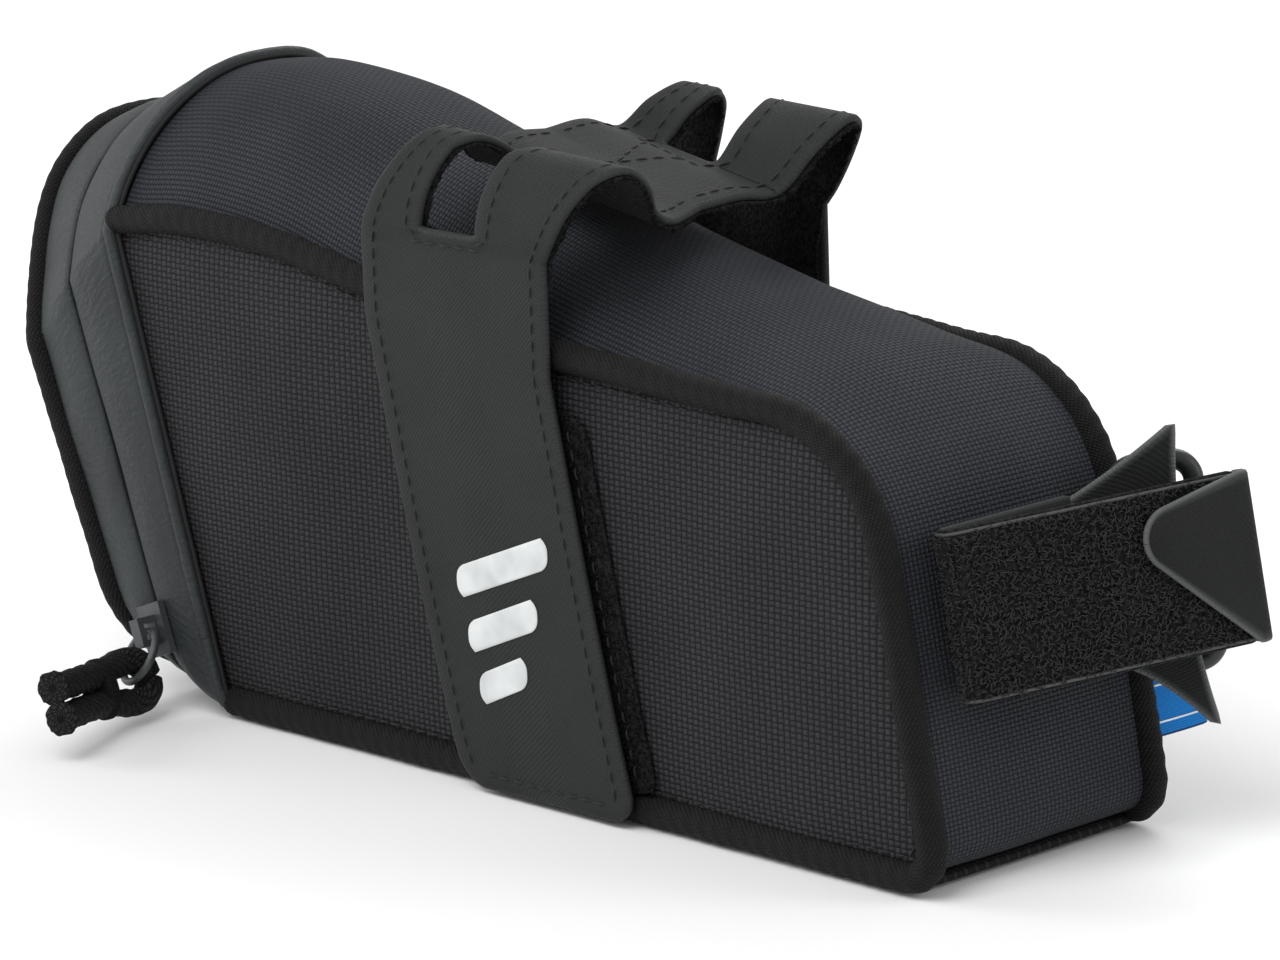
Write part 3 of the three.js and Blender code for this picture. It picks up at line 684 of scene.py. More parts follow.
def seam_line():
    """(line, middle of the base corner, middle of the top corner, start of the base corner).

    The three places are shares of the line's length, which runs from the rear of the base round the front
    to the rear of the top, as (x, z) points.
    """

    def arc(z, radius, start, end, steps):
        angle = np.linspace(start, end, steps)
        centre = front_seam_x(z) - radius / math.cos(FRONT_LEAN)
        return np.stack([centre + radius * np.cos(angle), z + radius * np.sin(angle)], 1)

    low = PIPING
    base_steps, top_steps = 12, 24
    base = arc(low + CORNER_BASE, CORNER_BASE, -math.pi / 2, FRONT_LEAN, base_steps)
    top = arc(SEAM_FRONT - CORNER_TOP, CORNER_TOP, FRONT_LEAN, math.pi / 2, top_steps)
    spline = [(float(rear_end_x(SEAM_REAR)), SEAM_REAR), (-88, 83.2), (-66, 82.2), (-40, 77.8), (-8, 73),
              (20, 71.2), (front_seam_x(SEAM_FRONT) - CORNER_TOP, SEAM_FRONT)]
    over = catmull(spline, np.linspace(0, 1, 90))[::-1]
    start = [(float(rear_end_x(low)), low)]
    line = np.concatenate([start, base, top, over[1:]])
    run = run_along(line)
    base_mid = run[1 + base_steps // 2] / run[-1]
    top_mid = run[1 + base_steps + top_steps // 2] / run[-1]
    base_start = run[1] / run[-1]
    return even(line, 700), base_mid, top_mid, base_start


SEAM, BASE_MID, TOP_MID, BASE_START = seam_line()


def inset(line, amount):
    """The seam's line moved towards the middle of the panel."""
    along = unit(np.gradient(line, axis=0))
    return line + np.stack([-along[:, 1], along[:, 0]], 1) * amount


def coons(bottom, right, top, left, rows, cols):
    """A grid between four edge lines: bottom and top run left to right, left and right run up."""
    bottom, top = even(bottom, cols), even(top, cols)
    left, right = even(left, rows), even(right, rows)
    u = np.linspace(0, 1, cols)[None, :, None]
    v = np.linspace(0, 1, rows)[:, None, None]
    sides = (1 - u) * left[:, None] + u * right[:, None]
    ends = (1 - v) * bottom[None] + v * top[None]
    corners = ((1 - u) * (1 - v) * bottom[0] + u * (1 - v) * bottom[-1]
               + (1 - u) * v * top[0] + u * v * top[-1])
    return sides + ends - corners


def side_panel(name, side):
    line = inset(SEAM, TUCK)
    count = len(line) - 1
    low_end = round(BASE_MID * count)
    high_end = round(TOP_MID * count)
    bottom, right, top = line[:low_end + 1], line[low_end:high_end + 1], line[high_end:][::-1]
    under_collar = np.array([-2.6, 0.0])
    bottom = np.vstack([bottom[:1] + under_collar, bottom])
    top = np.vstack([top[:1] + under_collar, top])
    left = np.array([bottom[0], top[0]])
    flat = coons(bottom, right, top, left, 56, 120)
    x, z = flat[..., 0], flat[..., 1]
    rows, cols = x.shape
    u = np.linspace(0, 1, cols)[None]
    v = np.linspace(0, 1, rows)[:, None]
    pillow = (np.sin(np.pi * u) * np.sin(np.pi * v)) ** 0.45
    free = 1.9 * np.clip((x - 20) / 22, 0, 1) + 1.5 * np.clip((-45 - x) / 18, 0, 1)
    dents = 0.35 * wobble(np.stack([x, x * 0, z], -1), 17, side * 3.0)
    swell = pillow * (free * (1 + dents) + 0.12)
    length, height = 150, 70  # about the panel's size, for the distance from its seams
    from_seam = np.minimum(np.minimum(u, 1 - u) * length, np.minimum(v, 1 - v) * height)
    seam_dip = -0.55 * np.exp(-from_seam / 3.0)
    y = side * (half_width(x) - 0.5 + swell + seam_dip)
    points = np.stack([x, y, z], -1)
    if side > 0:
        points = points[:, ::-1]
    surface = grid(points, uv=[[(p[0], p[2]) for p in row] for row in points])
    made = thick(surface, CLOTH).piece(name, "side_fabric")
    finish_piece(made, "bag", name)


def top_front_panel():
    first = round(BASE_START * (len(SEAM) - 1))
    line = even(SEAM[first:], 190)
    along = unit(np.gradient(line, axis=0))
    across = np.linspace(-1, 1, 72)
    rows = []
    for (x, z), (ax, az) in zip(line, along):
        reach = half_width(x) - TUCK
        level = min(1.0, max(0.0, -ax))
        rise = crown_at(x) * crown_shape(across) * level
        pillow = (1 - across**2) ** 0.6
        soft = 1.3 * (1 - level) * pillow * math.sin(math.pi * min(1.0, max(0.0, (z - 3) / 62)))
        soft = soft + 1.5 * level * pillow * np.clip((x - 18) / 20, 0, 1)
        out = -0.55 + soft
        px = x + az * out
        pz = z - ax * out + rise
        px = np.maximum(px, rear_end_x(pz))
        rows.append(np.stack([px, across * reach, pz], -1))
    points = np.array(rows)
    normals = surface_normals(points)
    quiet = np.clip((1 - np.abs(across)) * 8, 0, 1)[None]
    points = points + normals * (0.3 * wobble(points, 20, 5.0) * quiet)[..., None]
    steps = np.linalg.norm(np.diff(points, axis=1), axis=2)
    over = np.concatenate([np.zeros((len(points), 1)), np.cumsum(steps, axis=1)], axis=1)
    over -= over[:, -1:] / 2
    run = np.linspace(0, length_of(line), len(line))
    cloth = [[(o, r) for o in row] for row, r in zip(over.tolist(), run.tolist())]
    surface = grid(points, uv=cloth)
    made = thick(surface, CLOTH).piece("top_front_panel", "top_fabric")
    finish_piece(made, "bag", "top_front_panel", "base_front_corner")


def base_panel():
    first = round(BASE_START * (len(SEAM) - 1))
    x_line = np.linspace(float(rear_end_x(0)), SEAM[first][0] + 1.0, 90)
    across = np.linspace(-1, 1, 36)
    rows = [[(x, a * (half_width(x) - TUCK), 0.85 + 0.1 * math.cos(x * 0.3) * (1 - a * a)) for a in across]
            for x in x_line]
    made = thick(grid(np.array(rows)[:, ::-1]), CLOTH).piece("base_panel", "side_fabric")
    finish_piece(made, "bag", "base_panel")


def side_piping(name, side):
    line = np.stack([SEAM[:, 0], side * half_width(SEAM[:, 0]), SEAM[:, 1]], -1)
    line = even(line, 620)
    pitch = 3.1

    def puckered(i, angle, run):
        wave = math.cos(2 * math.pi * run / pitch + 1.7 * math.sin(angle))
        slow = noise.noise(Vector((run / 9, math.cos(angle), math.sin(angle) + side * 4)))
        return 1 + 0.035 * wave + 0.07 * slow

    made = tube_skin(line, ROLL - 0.12, 18, shape=puckered).piece(name, "piping")
    finish_piece(made, "bag", name)


def seam_stitches():
    """Rows of stitches in the valleys beside the seam rolls."""
    skin = Skin()
    for side in (-1, 1):
        flat = even(inset(SEAM, ROLL + 0.75), 500)
        y = side * (half_width(flat[:, 0]) + 0.28)
        line = np.stack([flat[:, 0], y, flat[:, 1]], -1)
        stitch_row(skin, line, np.tile([0.0, side, 0.0], (len(line), 1)), 1.9, 1.1, 0.2)
    made = skin.piece("seam_stitches", "thread")
    finish_piece(made, "bag")


# ---------------------------------------------------------------- rear mouth and lid

# how far behind the collar's front edge, then half width, bottom, shoulder, top and lower corner radius there
REAR_SIZES = [(0, 32.1, 0.3, 80, 106.6, 4.5), (14, 33.6, 2.4, 70, 98, 9.5), (30, 34, 4.4, 58, 92.5, 17)]


def rear_size(off, depth):
    first, second = REAR_SIZES[0:2] if off < REAR_SIZES[1][0] else REAR_SIZES[1:3]
    t = (off - first[0]) / (second[0] - first[0])
    half, low, shoulder, top, corner = (a + (b - a) * t for a, b in zip(first[1:], second[1:]))
    return half - depth, low + depth, shoulder, top - depth, corner - depth


BOTTOM_STEPS, CORNER_STEPS, SIDE_STEPS, ARCH_STEPS = 14, 8, 22, 66


def rear_outline(half, low, shoulder, top, corner):
    """A rear section from its right bottom corner round by the left side and the arch."""
    y = []
    z = []

    def push(a, b):
        y.extend(a)
        z.extend(b)

    push(np.linspace(-(half - corner), half - corner, BOTTOM_STEPS), np.full(BOTTOM_STEPS, low))
    angle = np.linspace(-math.pi / 2, 0, CORNER_STEPS + 1)[1:]
    push(half - corner + corner * np.cos(angle), low + corner + corner * np.sin(angle))
    push(np.full(SIDE_STEPS, half), np.linspace(low + corner, shoulder, SIDE_STEPS + 1)[1:])
    across = np.cos(np.linspace(0, math.pi, ARCH_STEPS + 1)[1:-1])
    push(half * across, shoulder + (top - shoulder) * crown_shape(across))
    push(np.full(SIDE_STEPS, -half), np.linspace(low + corner, shoulder, SIDE_STEPS + 1)[1:][::-1])
    angle = angle[::-1]
    push(-(half - corner + corner * np.cos(angle)), low + corner + corner * np.sin(angle))
    return np.array(y), np.array(z)


def on_rear(y, z, off):
    """A place off millimetres behind the collar's front edge; collar and lid are shallower near the base."""
    in_slot = np.clip(off - BAND_DEPTH, 0, ZIP_SLOT)
    behind_lid = np.maximum(0, off - (LID_DEPTH - 2.8))
    share = LOW_SHARE + (1 - LOW_SHARE) * np.asarray(z) / FULL_HEIGHT
    depth = (off - in_slot - behind_lid) * share + in_slot + behind_lid
    x = REAR_X - math.tan(REAR_LEAN) * z - depth / math.cos(REAR_LEAN) + top_curl(z)
    return np.stack([x, y, z], -1)


def rear_ring(off, depth):
    y, z = rear_outline(*rear_size(off, depth))
    return on_rear(y, z, off)


def band(name, profile, body, seed):
    """A ring of cloth round the mouth. profile is its section, as (off, depth) pairs round it."""
    section = even(catmull(profile + profile[:1], np.linspace(0, 1, 160)), 35)[:-1]
    points = np.array([rear_ring(off, depth) for off, depth in section]).transpose(1, 0, 2)
    centre = points.mean(axis=(0, 1))
    out = unit(points - centre)
    creases = wobble(points * np.array([1.0, 1.0, 0.45]), 7, seed)
    outer = np.clip(1.0 - section[:, 1], 0, 1)[None]
    points = points + out * (creases * outer * 0.28)[..., None]
    skin = Skin()
    skin.add(*grid(points, wrap_rows=True, wrap_cols=True))
    finish_piece(skin.piece(name, "coated_fabric"), body, name)


def mouth_and_lid():
    collar = [(13.3, 1.5), (13.75, 0.8), (13.1, 0.1), (10, -0.45), (6.6, -0.6), (3.2, -0.35), (1.2, 0.0),
              (0.9, 0.9), (1.3, 1.5), (5, 1.35), (9, 1.35)]
    lid = [(15.0, 1.5), (14.35, 0.8), (15.0, 0.1), (17.5, -0.4), (20.5, -0.55), (24, -0.35), (26.5, 0.0),
           (26.8, 0.8), (26.3, 1.5), (22, 1.4), (18, 1.4)]
    band("rear_collar", collar, "bag", 1.0)
    band("lid_band", lid, "lid", 7.0)
    rim_line = even_loop(rear_ring(0.15, 0.55), 520)

    def rolled(i, angle, run):
        return 1 + 0.07 * noise.noise(Vector((run / 3, math.cos(angle), math.sin(angle))))

    rim = tube_skin(rim_line, 1.05, 14, closed=True, shape=rolled).piece("collar_rim", "coated_fabric")
    finish_piece(rim, "bag")
    # A thin near-black tube just in front of the collar's front edge: a painted shadow line in the crease
    # where the collar meets the side fabric.
    collar_shadow_path = even_loop(rear_ring(-0.75, 1.5), 520)
    fold = tube_skin(collar_shadow_path, 0.55, 10, closed=True, shape=rolled).piece("collar_shadow_line", "thread")
    finish_piece(fold, "bag")

    edge = even_loop(rear_ring(LID_DEPTH, 0.3), 560)

    def bound(i, angle, run):
        lumps = 0.05 * noise.noise(Vector((run / 8, math.cos(angle), math.sin(angle))))
        return 1 + lumps + 0.02 * math.cos(2 * math.pi * run / 2.8)

    made = tube_skin(edge, 2.0, 18, closed=True, shape=bound).piece("lid_piping", "piping")
    finish_piece(made, "lid", "lid_piping")


TAPE_END = 12  # how far the hinge tape ends short of each side


def zip_parts():
    """The two tapes of the zip with their coils, up the sides and over the arch."""
    first = BOTTOM_STEPS + CORNER_STEPS - 1
    last = BOTTOM_STEPS + CORNER_STEPS + 2 * SIDE_STEPS + ARCH_STEPS - 1
    for name, body, near, far in (("body", "bag", BAND_DEPTH, BAND_DEPTH - 5),
                                  ("lid", "lid", BAND_DEPTH + ZIP_SLOT, BAND_DEPTH + ZIP_SLOT + 5)):
        offs = np.linspace(near, far, 6)
        points = np.array([rear_ring(off, 2.25)[first:last + 1] for off in offs]).transpose(1, 0, 2)
        if name == "lid":
            points = points[:, ::-1]
        tape = thick(grid(points), 0.5).piece(f"zip_tape_{name}", "zip_tape")
        finish_piece(tape, body, f"zip_tape_{name}")
        inward = 1 if name == "body" else -1
        ends = even(rear_ring(near + inward * 0.35, 3.3)[first:last + 1], 190)
        starts = even(rear_ring(near - inward * 1.7, 3.3)[first:last + 1], 190)
        skin = Skin()
        outs = unit(ends - ends.mean(axis=0))
        capsules(skin, starts, ends, 0.42, outs)
        finish_piece(skin.piece(f"zip_coil_{name}", "zip_coil"), body, f"zip_coil_{name}")


def hinge_tape():
    """The fabric that the lid hangs on, between bag and lid."""
    offs = np.linspace(BAND_DEPTH - 5, BAND_DEPTH + ZIP_SLOT + 3, 14)
    rows = []
    for off in offs:
        half, low = rear_size(off, 2.4)[:2]
        y = np.linspace(-(half - TAPE_END), half - TAPE_END, 30)
        rows.append(on_rear(y, np.full(30, low), off))
    tape = thick(grid(np.array(rows)[:, ::-1]), 0.5).piece("lid_hinge_tape", "zip_tape")
    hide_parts("lid_hinge_tape")
    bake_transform(tape)


LID_BACK = np.array([-math.cos(REAR_LEAN), 0, -math.sin(REAR_LEAN)])


def lid_face():
    outline = rear_ring(LID_DEPTH, 1.6)
    centre = outline.mean(axis=0)
    shares = np.linspace(0.02, 1, 40)
    points = np.array([centre + (outline - centre) * share for share in shares])
    lift = 0.4 + 0.25 * (1 - shares**2)
    points = points + LID_BACK * lift[:, None, None]
    points = points + LID_BACK * (0.18 * wobble(points, 14, 2.0))[..., None]
    points = points[::-1]
    surface = grid(points, wrap_cols=True, uv=[[(p[1], p[2]) for p in row] for row in points])
    made = thick(surface, CLOTH).piece("lid_panel", "coated_fabric")
    finish_piece(made, "lid", "lid_panel")


def light_loop():
    """The webbing loop on the lid that a light clips to, with its four rows of stitches."""
    low, high, stand, width = 30, 66, 7.2, 20
    u = np.linspace(0, 1, 60)
    lift = stand * (1 - np.abs(2 * u - 1) ** 3)
    y = np.linspace(-width / 2, width / 2, 22)
    rows = [on_rear(y, np.full(len(y), low + (high - low) * a), LID_DEPTH + 2.1 + b) for a, b in zip(u, lift)]
    loop = thick(grid(rows), 1.2).piece("light_loop", "webbing")
    finish_piece(loop, "lid", "light_loop")
    skin = Skin()
    for z in (30.8, 32.4, 63.6, 65.2):
        share = (z - low) / (high - low)
        off = LID_DEPTH + 2.75 + stand * (1 - abs(2 * share - 1) ** 3)
        line = on_rear(np.linspace(-9, 9, 40), np.full(40, z), off)
        stitch_row(skin, line, np.tile(LID_BACK, (40, 1)), 1.6, 0.6, 0.2)
    finish_piece(skin.piece("light_loop_stitches", "thread"), "lid")


# ---------------------------------------------------------------- zip slider, pull and cord

NARROWING = BAND_DEPTH * (1 - LOW_SHARE) / FULL_HEIGHT / math.cos(REAR_LEAN)
ZIP_LEAN = math.atan(math.tan(REAR_LEAN) + NARROWING)
SLIDE_UP = np.array([-math.sin(ZIP_LEAN), 0, math.cos(ZIP_LEAN)])
SLIDE_BACK = np.array([-math.cos(ZIP_LEAN), 0, -math.sin(ZIP_LEAN)])
SLIDER_OFF = BAND_DEPTH + ZIP_SLOT / 2
SLIDER_AT = on_rear(-rear_size(SLIDER_OFF, 0)[0], 13.4, SLIDER_OFF)
BAIL_AXIS = 2.95
BAIL_RADIUS = 4.1
BAIL_LONG = 1.15  # how much longer than wide the wire loop is
BAIL_SWING = math.radians(52)
BAIL_REACH = BAIL_RADIUS * BAIL_LONG


def on_bail(beside, outward):
    """A place in the plane of the wire loop, outward from its axis on the slider."""
    return (SLIDER_AT + SLIDE_BACK * beside - SLIDE_UP * outward * math.sin(BAIL_SWING)
            - np.array([0, BAIL_AXIS + outward * math.cos(BAIL_SWING), 0]))


def from_wire(forward, outward, rise):
    """A place on the cord, from the middle of the loop's far wire."""
    return on_bail(-forward, 2 * BAIL_REACH) + SLIDE_UP * rise - np.array([0, outward, 0])


# the middle line of each half, as (forward, outward, rise) from the loop's far wire to its cut end
CORD_HALVES = {
    "upper": [(0, -3.55, 0.1), (0, -2.55, 2.5), (0, 0, 3.55), (0.5, 3, 3.3), (1.9, 6.1, 2.85),
              (3.5, 8.9, 2.4), (5, 11.6, 2.3), (6.8, 15, 2.15), (9, 19.2, 1.9), (11.2, 23.4, 1.8)],
    "lower": [(0, -3.55, -0.1), (0, -2.55, -2.5), (0, 0, -3.5), (0.5, 3, -3.2), (1.9, 6.1, -2.7),
              (3.5, 8.9, -2.45), (5, 11.6, -2.5), (6.8, 15, -2.65), (9, 19.2, -3.0), (11.2, 23.4, -3.4)],
}
CORD_RADIUS = 2.35


def braided(i, angle, run):
    """Raised strands of a braid: two sets of helices that pass over and under."""
    strands, pitch = 4, 8.5
    right = strands * angle + 2 * math.pi * run * strands / pitch / 2
    left = strands * angle - 2 * math.pi * run * strands / pitch / 2
    over = math.cos(right / 2) ** 2
    under = math.cos(left / 2) ** 2
    return 0.97 + 0.07 * max(over * (0.5 + 0.5 * math.sin(left)), under * (0.5 - 0.5 * math.sin(right)))


def zip_pull():
    """The two halves of the cord, each from the wire loop to its cut end."""
    for name, route in CORD_HALVES.items():
        path = np.array([from_wire(*at) for at in route])
        line = even(catmull(path, np.linspace(0, 1, 300)), 150)
        total = length_of(line)

        def cord_shape(i, angle, run, total=total):
            ragged = 0.05 * noise.noise(Vector((run * 2, math.cos(angle) * 4, math.sin(angle) * 4)))
            frayed = 1 + (0.2 + 3 * ragged) * max(0.0, (run - total + 3) / 3) ** 2
            pinch = 1 - 0.1 * math.exp(-((run - 12.5) / 2.4) ** 2)
            return braided(i, angle, run) * frayed * pinch

        cord = tube_skin(line, CORD_RADIUS, 32, shape=cord_shape, round_ends=0.12)
        made = cord.piece(f"zip_cord_{name}", "cord")
        nodes = [f"zip_cord_{name}"] + (["zip_cord_bight"] if name == "upper" else [])
        finish_piece(made, "pull", *nodes)


def cord_wrap():
    """The sleeve that holds the two halves of the cord together."""
    sides = 48
    angle = np.linspace(0, 2 * math.pi, sides + 1)[:-1]
    rows = []
    for share in np.linspace(0, 1, 26):
        ridge = 1 + 0.05 * math.cos(share * 8 * math.pi)
        end = 1 - 0.12 * (2 * abs(share - 0.5)) ** 4
        beside = 2.6 * np.cos(angle) * ridge * end
        rise = -0.1 + 5.0 * np.sign(np.sin(angle)) * np.abs(np.sin(angle)) ** 0.8 * ridge * end
        forward = 2.6 + 1.9 * share
        outward = 7.2 + 3.5 * share
        rows.append([from_wire(forward + 0.88 * a, outward - 0.47 * a, b) for a, b in zip(beside, rise)])
    wrap = Skin()
    wrap.add(*capped(grid(rows, wrap_cols=True), sides))
    finish_piece(wrap.piece("cord_wrap", "piping"), "pull", "cord_wrap")


def zip_bail():
    """The wire loop on the slider that the cord is looped through."""
    angle = np.linspace(0, 2 * math.pi, 97)[:-1]
    bail = [on_bail(BAIL_RADIUS * math.cos(a), BAIL_REACH * (1 + math.sin(a))) for a in angle]
    made = tube_skin(bail, 0.68, 12, closed=True).piece("zip_bail", "slider_metal")
    finish_piece(made, "pull", "zip_bail")


def dress_cad(node, material, bevel):
    """Show a CAD solid itself, in a material and with rounded edges."""
    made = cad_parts[node]
    made.data.materials.clear()
    made.data.materials.append(materials[material])
    rounding = made.modifiers.new("rounded edges", "BEVEL")
    rounding.width = bevel * MM
    rounding.segments = 3
    rounding.limit_method = "ANGLE"
    rounding.angle_limit = math.radians(40)


# ---------------------------------------------------------------- strap over the saddle rails


def top_height(x, y):
    line = SEAM[round(TOP_MID * (len(SEAM) - 1)):][::-1]
    seam = np.interp(x, line[:, 0], line[:, 1])
    return float(seam + 0.2 + crown_at(x) * crown_shape(y / (half_width(x) - 2.5)))


RIGHT_LEAN = [0, 1.9, 2.5, 4.5, 5.2, 3.6, 1.6, 0.6, 0.1]  # how far the right loop's front edge leans forward
RIGHT_RISE = [0, -1.2, 1.4, 0.6, 0, 0, 0, 0, 0]  # and how much higher it runs


def rail_edges(side):
    """The strap's rear and front edge from the middle of the bag over one rail, as points with y outwards."""

    def beside_wing(x):
        return float(half_width(x)) + WING_STAND + STRAP / 2

    def lie(x, y):
        return top_height(x, y) + 1.5

    rear = [(-30, 0, lie(-30, 0) + 4), (-30, 8, lie(-30, 5) + 4.8), (-28.5, 14.5, 98.8), (-27, 20, 102.6),
            (-26, 26, 104.6), (-28.3, 30, 102.4), (-33, 31.8, 97), (-37, 32, 91),
            (-38.6, beside_wing(-38.6), WING_TOP + 1.2)]
    front = [(5, 0, lie(5, 0) + 5.5), (5.6, 8, lie(5.6, 5) + 6.4), (8, 14.5, 92.6), (10.5, 20, 98.6),
             (12, 26, 102.8), (10.6, 30, 101.4), (7.4, 31.2, 96.4), (4.2, 31, 91),
             (2, beside_wing(2), WING_TOP + 1.2)]
    front = np.array(front, float)
    if side < 0:
        front[:, 0] += RIGHT_LEAN
        front[:, 2] += RIGHT_RISE
    return np.array(rear, float), front


def from_middle(edge, at):
    """The edge as a curve that crosses the middle of the bag without a kink."""
    mirrored = (2 * edge[0] - edge[1]) * np.array([1, 0, 1]) - edge[1] * np.array([0, 1, 0])
    spans = len(edge) - 1
    return catmull(np.vstack([mirrored, edge]), (1 + np.asarray(at) * spans) / (1 + spans))


def wing_sides(z):
    """(rear x, front x) of a wing at a height: both edges lean back as they rise, the rear one more."""
    rear = -18.5 - 20.1 * min(1.0, (z + 1) / 76) ** 0.86
    front = 17.8 - 15.8 * min(1.0, max(0.0, z - 3) / 66) ** 0.9
    return rear, front


def corner_cut(radius, past):
    """How far a round corner stands back from its edge, past millimetres beyond the corner's start."""
    return radius - math.sqrt(max(0.0, radius**2 - past**2))


def wing_edges(z):
    """(rear x, front x) of a wing at a height, with round lower corners."""
    rear, front = wing_sides(z)
    low, corner = 0.8, 5.0
    if z < low + corner:
        cut = corner_cut(corner, low + corner - z)
        return rear + cut, front - cut
    return rear, front


WINDOW_FROM, WINDOW_TO = 0.24, 0.93  # a window's ends, as shares of the way from the middle to the wing
WINDOW_COLUMNS = (8, 18)  # the strap's columns of points along a window's two long edges
SPECK = 1e-6


def strap_rows(side):
    """The strap from the middle of the bag over one rail and down the wing: (points, rows' shares of the way
    from the middle to the wing).
    """
    rear, front = rail_edges(side)
    closer_at_ends = 0.5 - 0.5 * np.cos(np.linspace(0, np.pi, 61))
    at = np.concatenate([np.linspace(0, WINDOW_FROM, 15)[:-1],
                         WINDOW_FROM + (WINDOW_TO - WINDOW_FROM) * closer_at_ends,
                         np.linspace(WINDOW_TO, 1, 6)[1:]])
    rear_line = from_middle(rear, at)
    front_line = from_middle(front, at)
    heights = np.concatenate([np.linspace(86.0, 7, 62), 0.8 + 5.0 * (1 - np.sin(np.linspace(0.15, 1.35, 9)))])
    wing_rear = []
    wing_front = []
    for z in heights:
        a, b = wing_edges(z)
        for x, out in ((a, wing_rear), (b, wing_front)):
            out.append((x, float(half_width(x)) + WING_STAND + STRAP / 2, z))
    rear_line = np.vstack([rear_line, wing_rear])
    front_line = np.vstack([front_line, wing_front])
    stops = np.linspace(0, 1, 3)
    along = np.clip((at - WINDOW_FROM) / (WINDOW_TO - WINDOW_FROM), 0, 1)
    low_edge = np.interp(along, stops, [0.26, 0.18, 0.3])
    high_edge = np.interp(along, stops, [0.62, 0.5, 0.64])
    loop_length, strap_width, corner = 62.0, 38, 2.2
    for k, s in enumerate(at):
        near = min(abs(s - WINDOW_FROM), abs(WINDOW_TO - s)) * loop_length
        inside = WINDOW_FROM - SPECK <= s <= WINDOW_TO + SPECK
        pull = corner_cut(corner, corner - min(near, corner)) if inside else corner
        low_edge[k] += pull / strap_width
        high_edge[k] -= pull / strap_width
    rest = len(rear_line) - len(at)
    fade = np.linspace(0, 1, rest)
    low_edge = np.concatenate([low_edge, low_edge[-1] * (1 - fade) + 0.33 * fade])
    high_edge = np.concatenate([high_edge, high_edge[-1] * (1 - fade) + 0.67 * fade])
    shares = []
    for low, high in zip(low_edge, high_edge):
        shares.append(np.concatenate([np.linspace(0, low, 9)[:-1], np.linspace(low, high, 11)[:-1],
                                      np.linspace(high, 1, 10)]))
    shares = np.array(shares)
    points = rear_line[:, None] * (1 - shares[..., None]) + front_line[:, None] * shares[..., None]
    points[..., 1] *= side
    return points, at


def strap_skip(at):
    """A test for the faces that a window leaves out."""
    first, last = WINDOW_COLUMNS
    inside = [WINDOW_FROM - SPECK <= s < WINDOW_TO - SPECK for s in at]
    return lambda i, j: i < len(inside) and inside[i] and first <= j < last


def ordered(points, side):
    """The same grid with its faces turned outwards on either side of the bag."""
    return points[:, ::-1] if side < 0 else points


def rail_strap(name, side):
    """One half of the strap: its face, the lining with its fuzz, and the stitches."""
    points, at = strap_rows(side)
    skip = strap_skip(at)
    cols = points.shape[1]
    chosen = (lambda i, j: skip(i, cols - 2 - j)) if side < 0 else skip
    surface = grid(ordered(points, side), skip=chosen)
    made = thick(surface, STRAP, cut_at=cols).piece(f"rail_strap_{name}", "strap_face")
    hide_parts(f"rail_strap_{name}", "rail_strap_center")
    blend_to_wing(made)

    normals = surface_normals(points) * (1 if side > 0 else -1)
    if normals[-20, 10, 1] * side < 0:
        normals = -normals
    loops = len(at)
    lining_rows = loops + 19
    first_column, last_column = WINDOW_COLUMNS
    lining = points[:lining_rows] - normals[:lining_rows]
    lining[0, :, 1] = 0
    ragged = wobble(lining, 1.3, 9.0)
    reach = unit(lining[:, -1] - lining[:, 0])
    fluff = 0.6 * (1 + ragged)[..., None] * np.minimum(1, np.arange(len(lining)) / 3)[:, None, None]
    shown = np.minimum(1, np.maximum(0, loops + 4 - np.arange(len(lining))) / 4)[:, None]
    lining[:, 0] -= reach * (fluff[:, 0] + 0.1) * (2 * shown - 1)
    lining[:, -1] += reach * (fluff[:, -1] + 0.1) * (2 * shown - 1)
    lining[:, first_column] += reach * fluff[:, first_column]
    lining[:, last_column] -= reach * fluff[:, last_column]
    under = thick(grid(ordered(lining, side), skip=chosen), 0.6, cut_at=cols)
    blend_to_wing(under.piece(f"rail_lining_{name}", "hook_loop"))

    fuzz = Skin()
    fuzzy_edges = ((0, -1), (cols - 1, 1), (first_column, 1), (last_column, -1))

    def on_fuzzy_edge(u, v):
        column, facing_out = fuzzy_edges[min(3, int(v * 4))]
        i = min(loops - 2, 2 + int(u * (loops - 4)))
        share = u * (loops - 4) % 1
        spot = lining[i, column] * (1 - share) + lining[i + 1, column] * share
        return spot, reach[i] * facing_out - normals[i, column] * 0.4

    tufts(fuzz, on_fuzzy_edge, 1500, 21 + side, 0.45)
    blend_to_wing(fuzz.piece(f"rail_fuzz_{name}", "hook_loop"))
    threads = rail_stitches(points + normals * (STRAP / 2 + 0.02), normals, loops)
    blend_to_wing(threads.piece(f"rail_stitches_{name}", "thread"))


def rail_stitches(face, normals, loops):
    """Stitches along the strap's edges, round the window, across the wing and in a V at the middle."""
    skin = Skin()
    cols = face.shape[1]
    middle = cols // 2
    wing_end = len(face) - 6
    window_start, window_end = 14, loops - 6
    rows = [(0, 2.3, 1, wing_end), (cols - 1, -2.3, 1, wing_end)]
    for column, shift in zip(WINDOW_COLUMNS, (-2.4, 2.4)):
        rows.append((column, shift, window_start - 3, window_end + 3))
    for column, shift, start, end in rows:
        step = 1 if shift > 0 else -1
        across = unit(face[start:end, column + step] - face[start:end, column])
        stitch_row(skin, face[start:end, column] + across * abs(shift), normals[start:end, middle])
    stitch_row(skin, face[wing_end, 3:-3], normals[wing_end, 3:-3])
    for i in (window_start - 4, window_end + 4):
        stitch_row(skin, face[i, 6:21], normals[i, 6:21])
    for column in WINDOW_COLUMNS:
        line = []
        for i in range(window_start - 3):
            share = i / (window_start - 4)
            line.append(face[i, round(middle + (column - middle) * share)])
        stitch_row(skin, line, normals[:window_start - 3, middle])
    return skin


def blend_to_wing(piece):
    """Bake a piece's transform into its mesh."""
    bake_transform(piece)


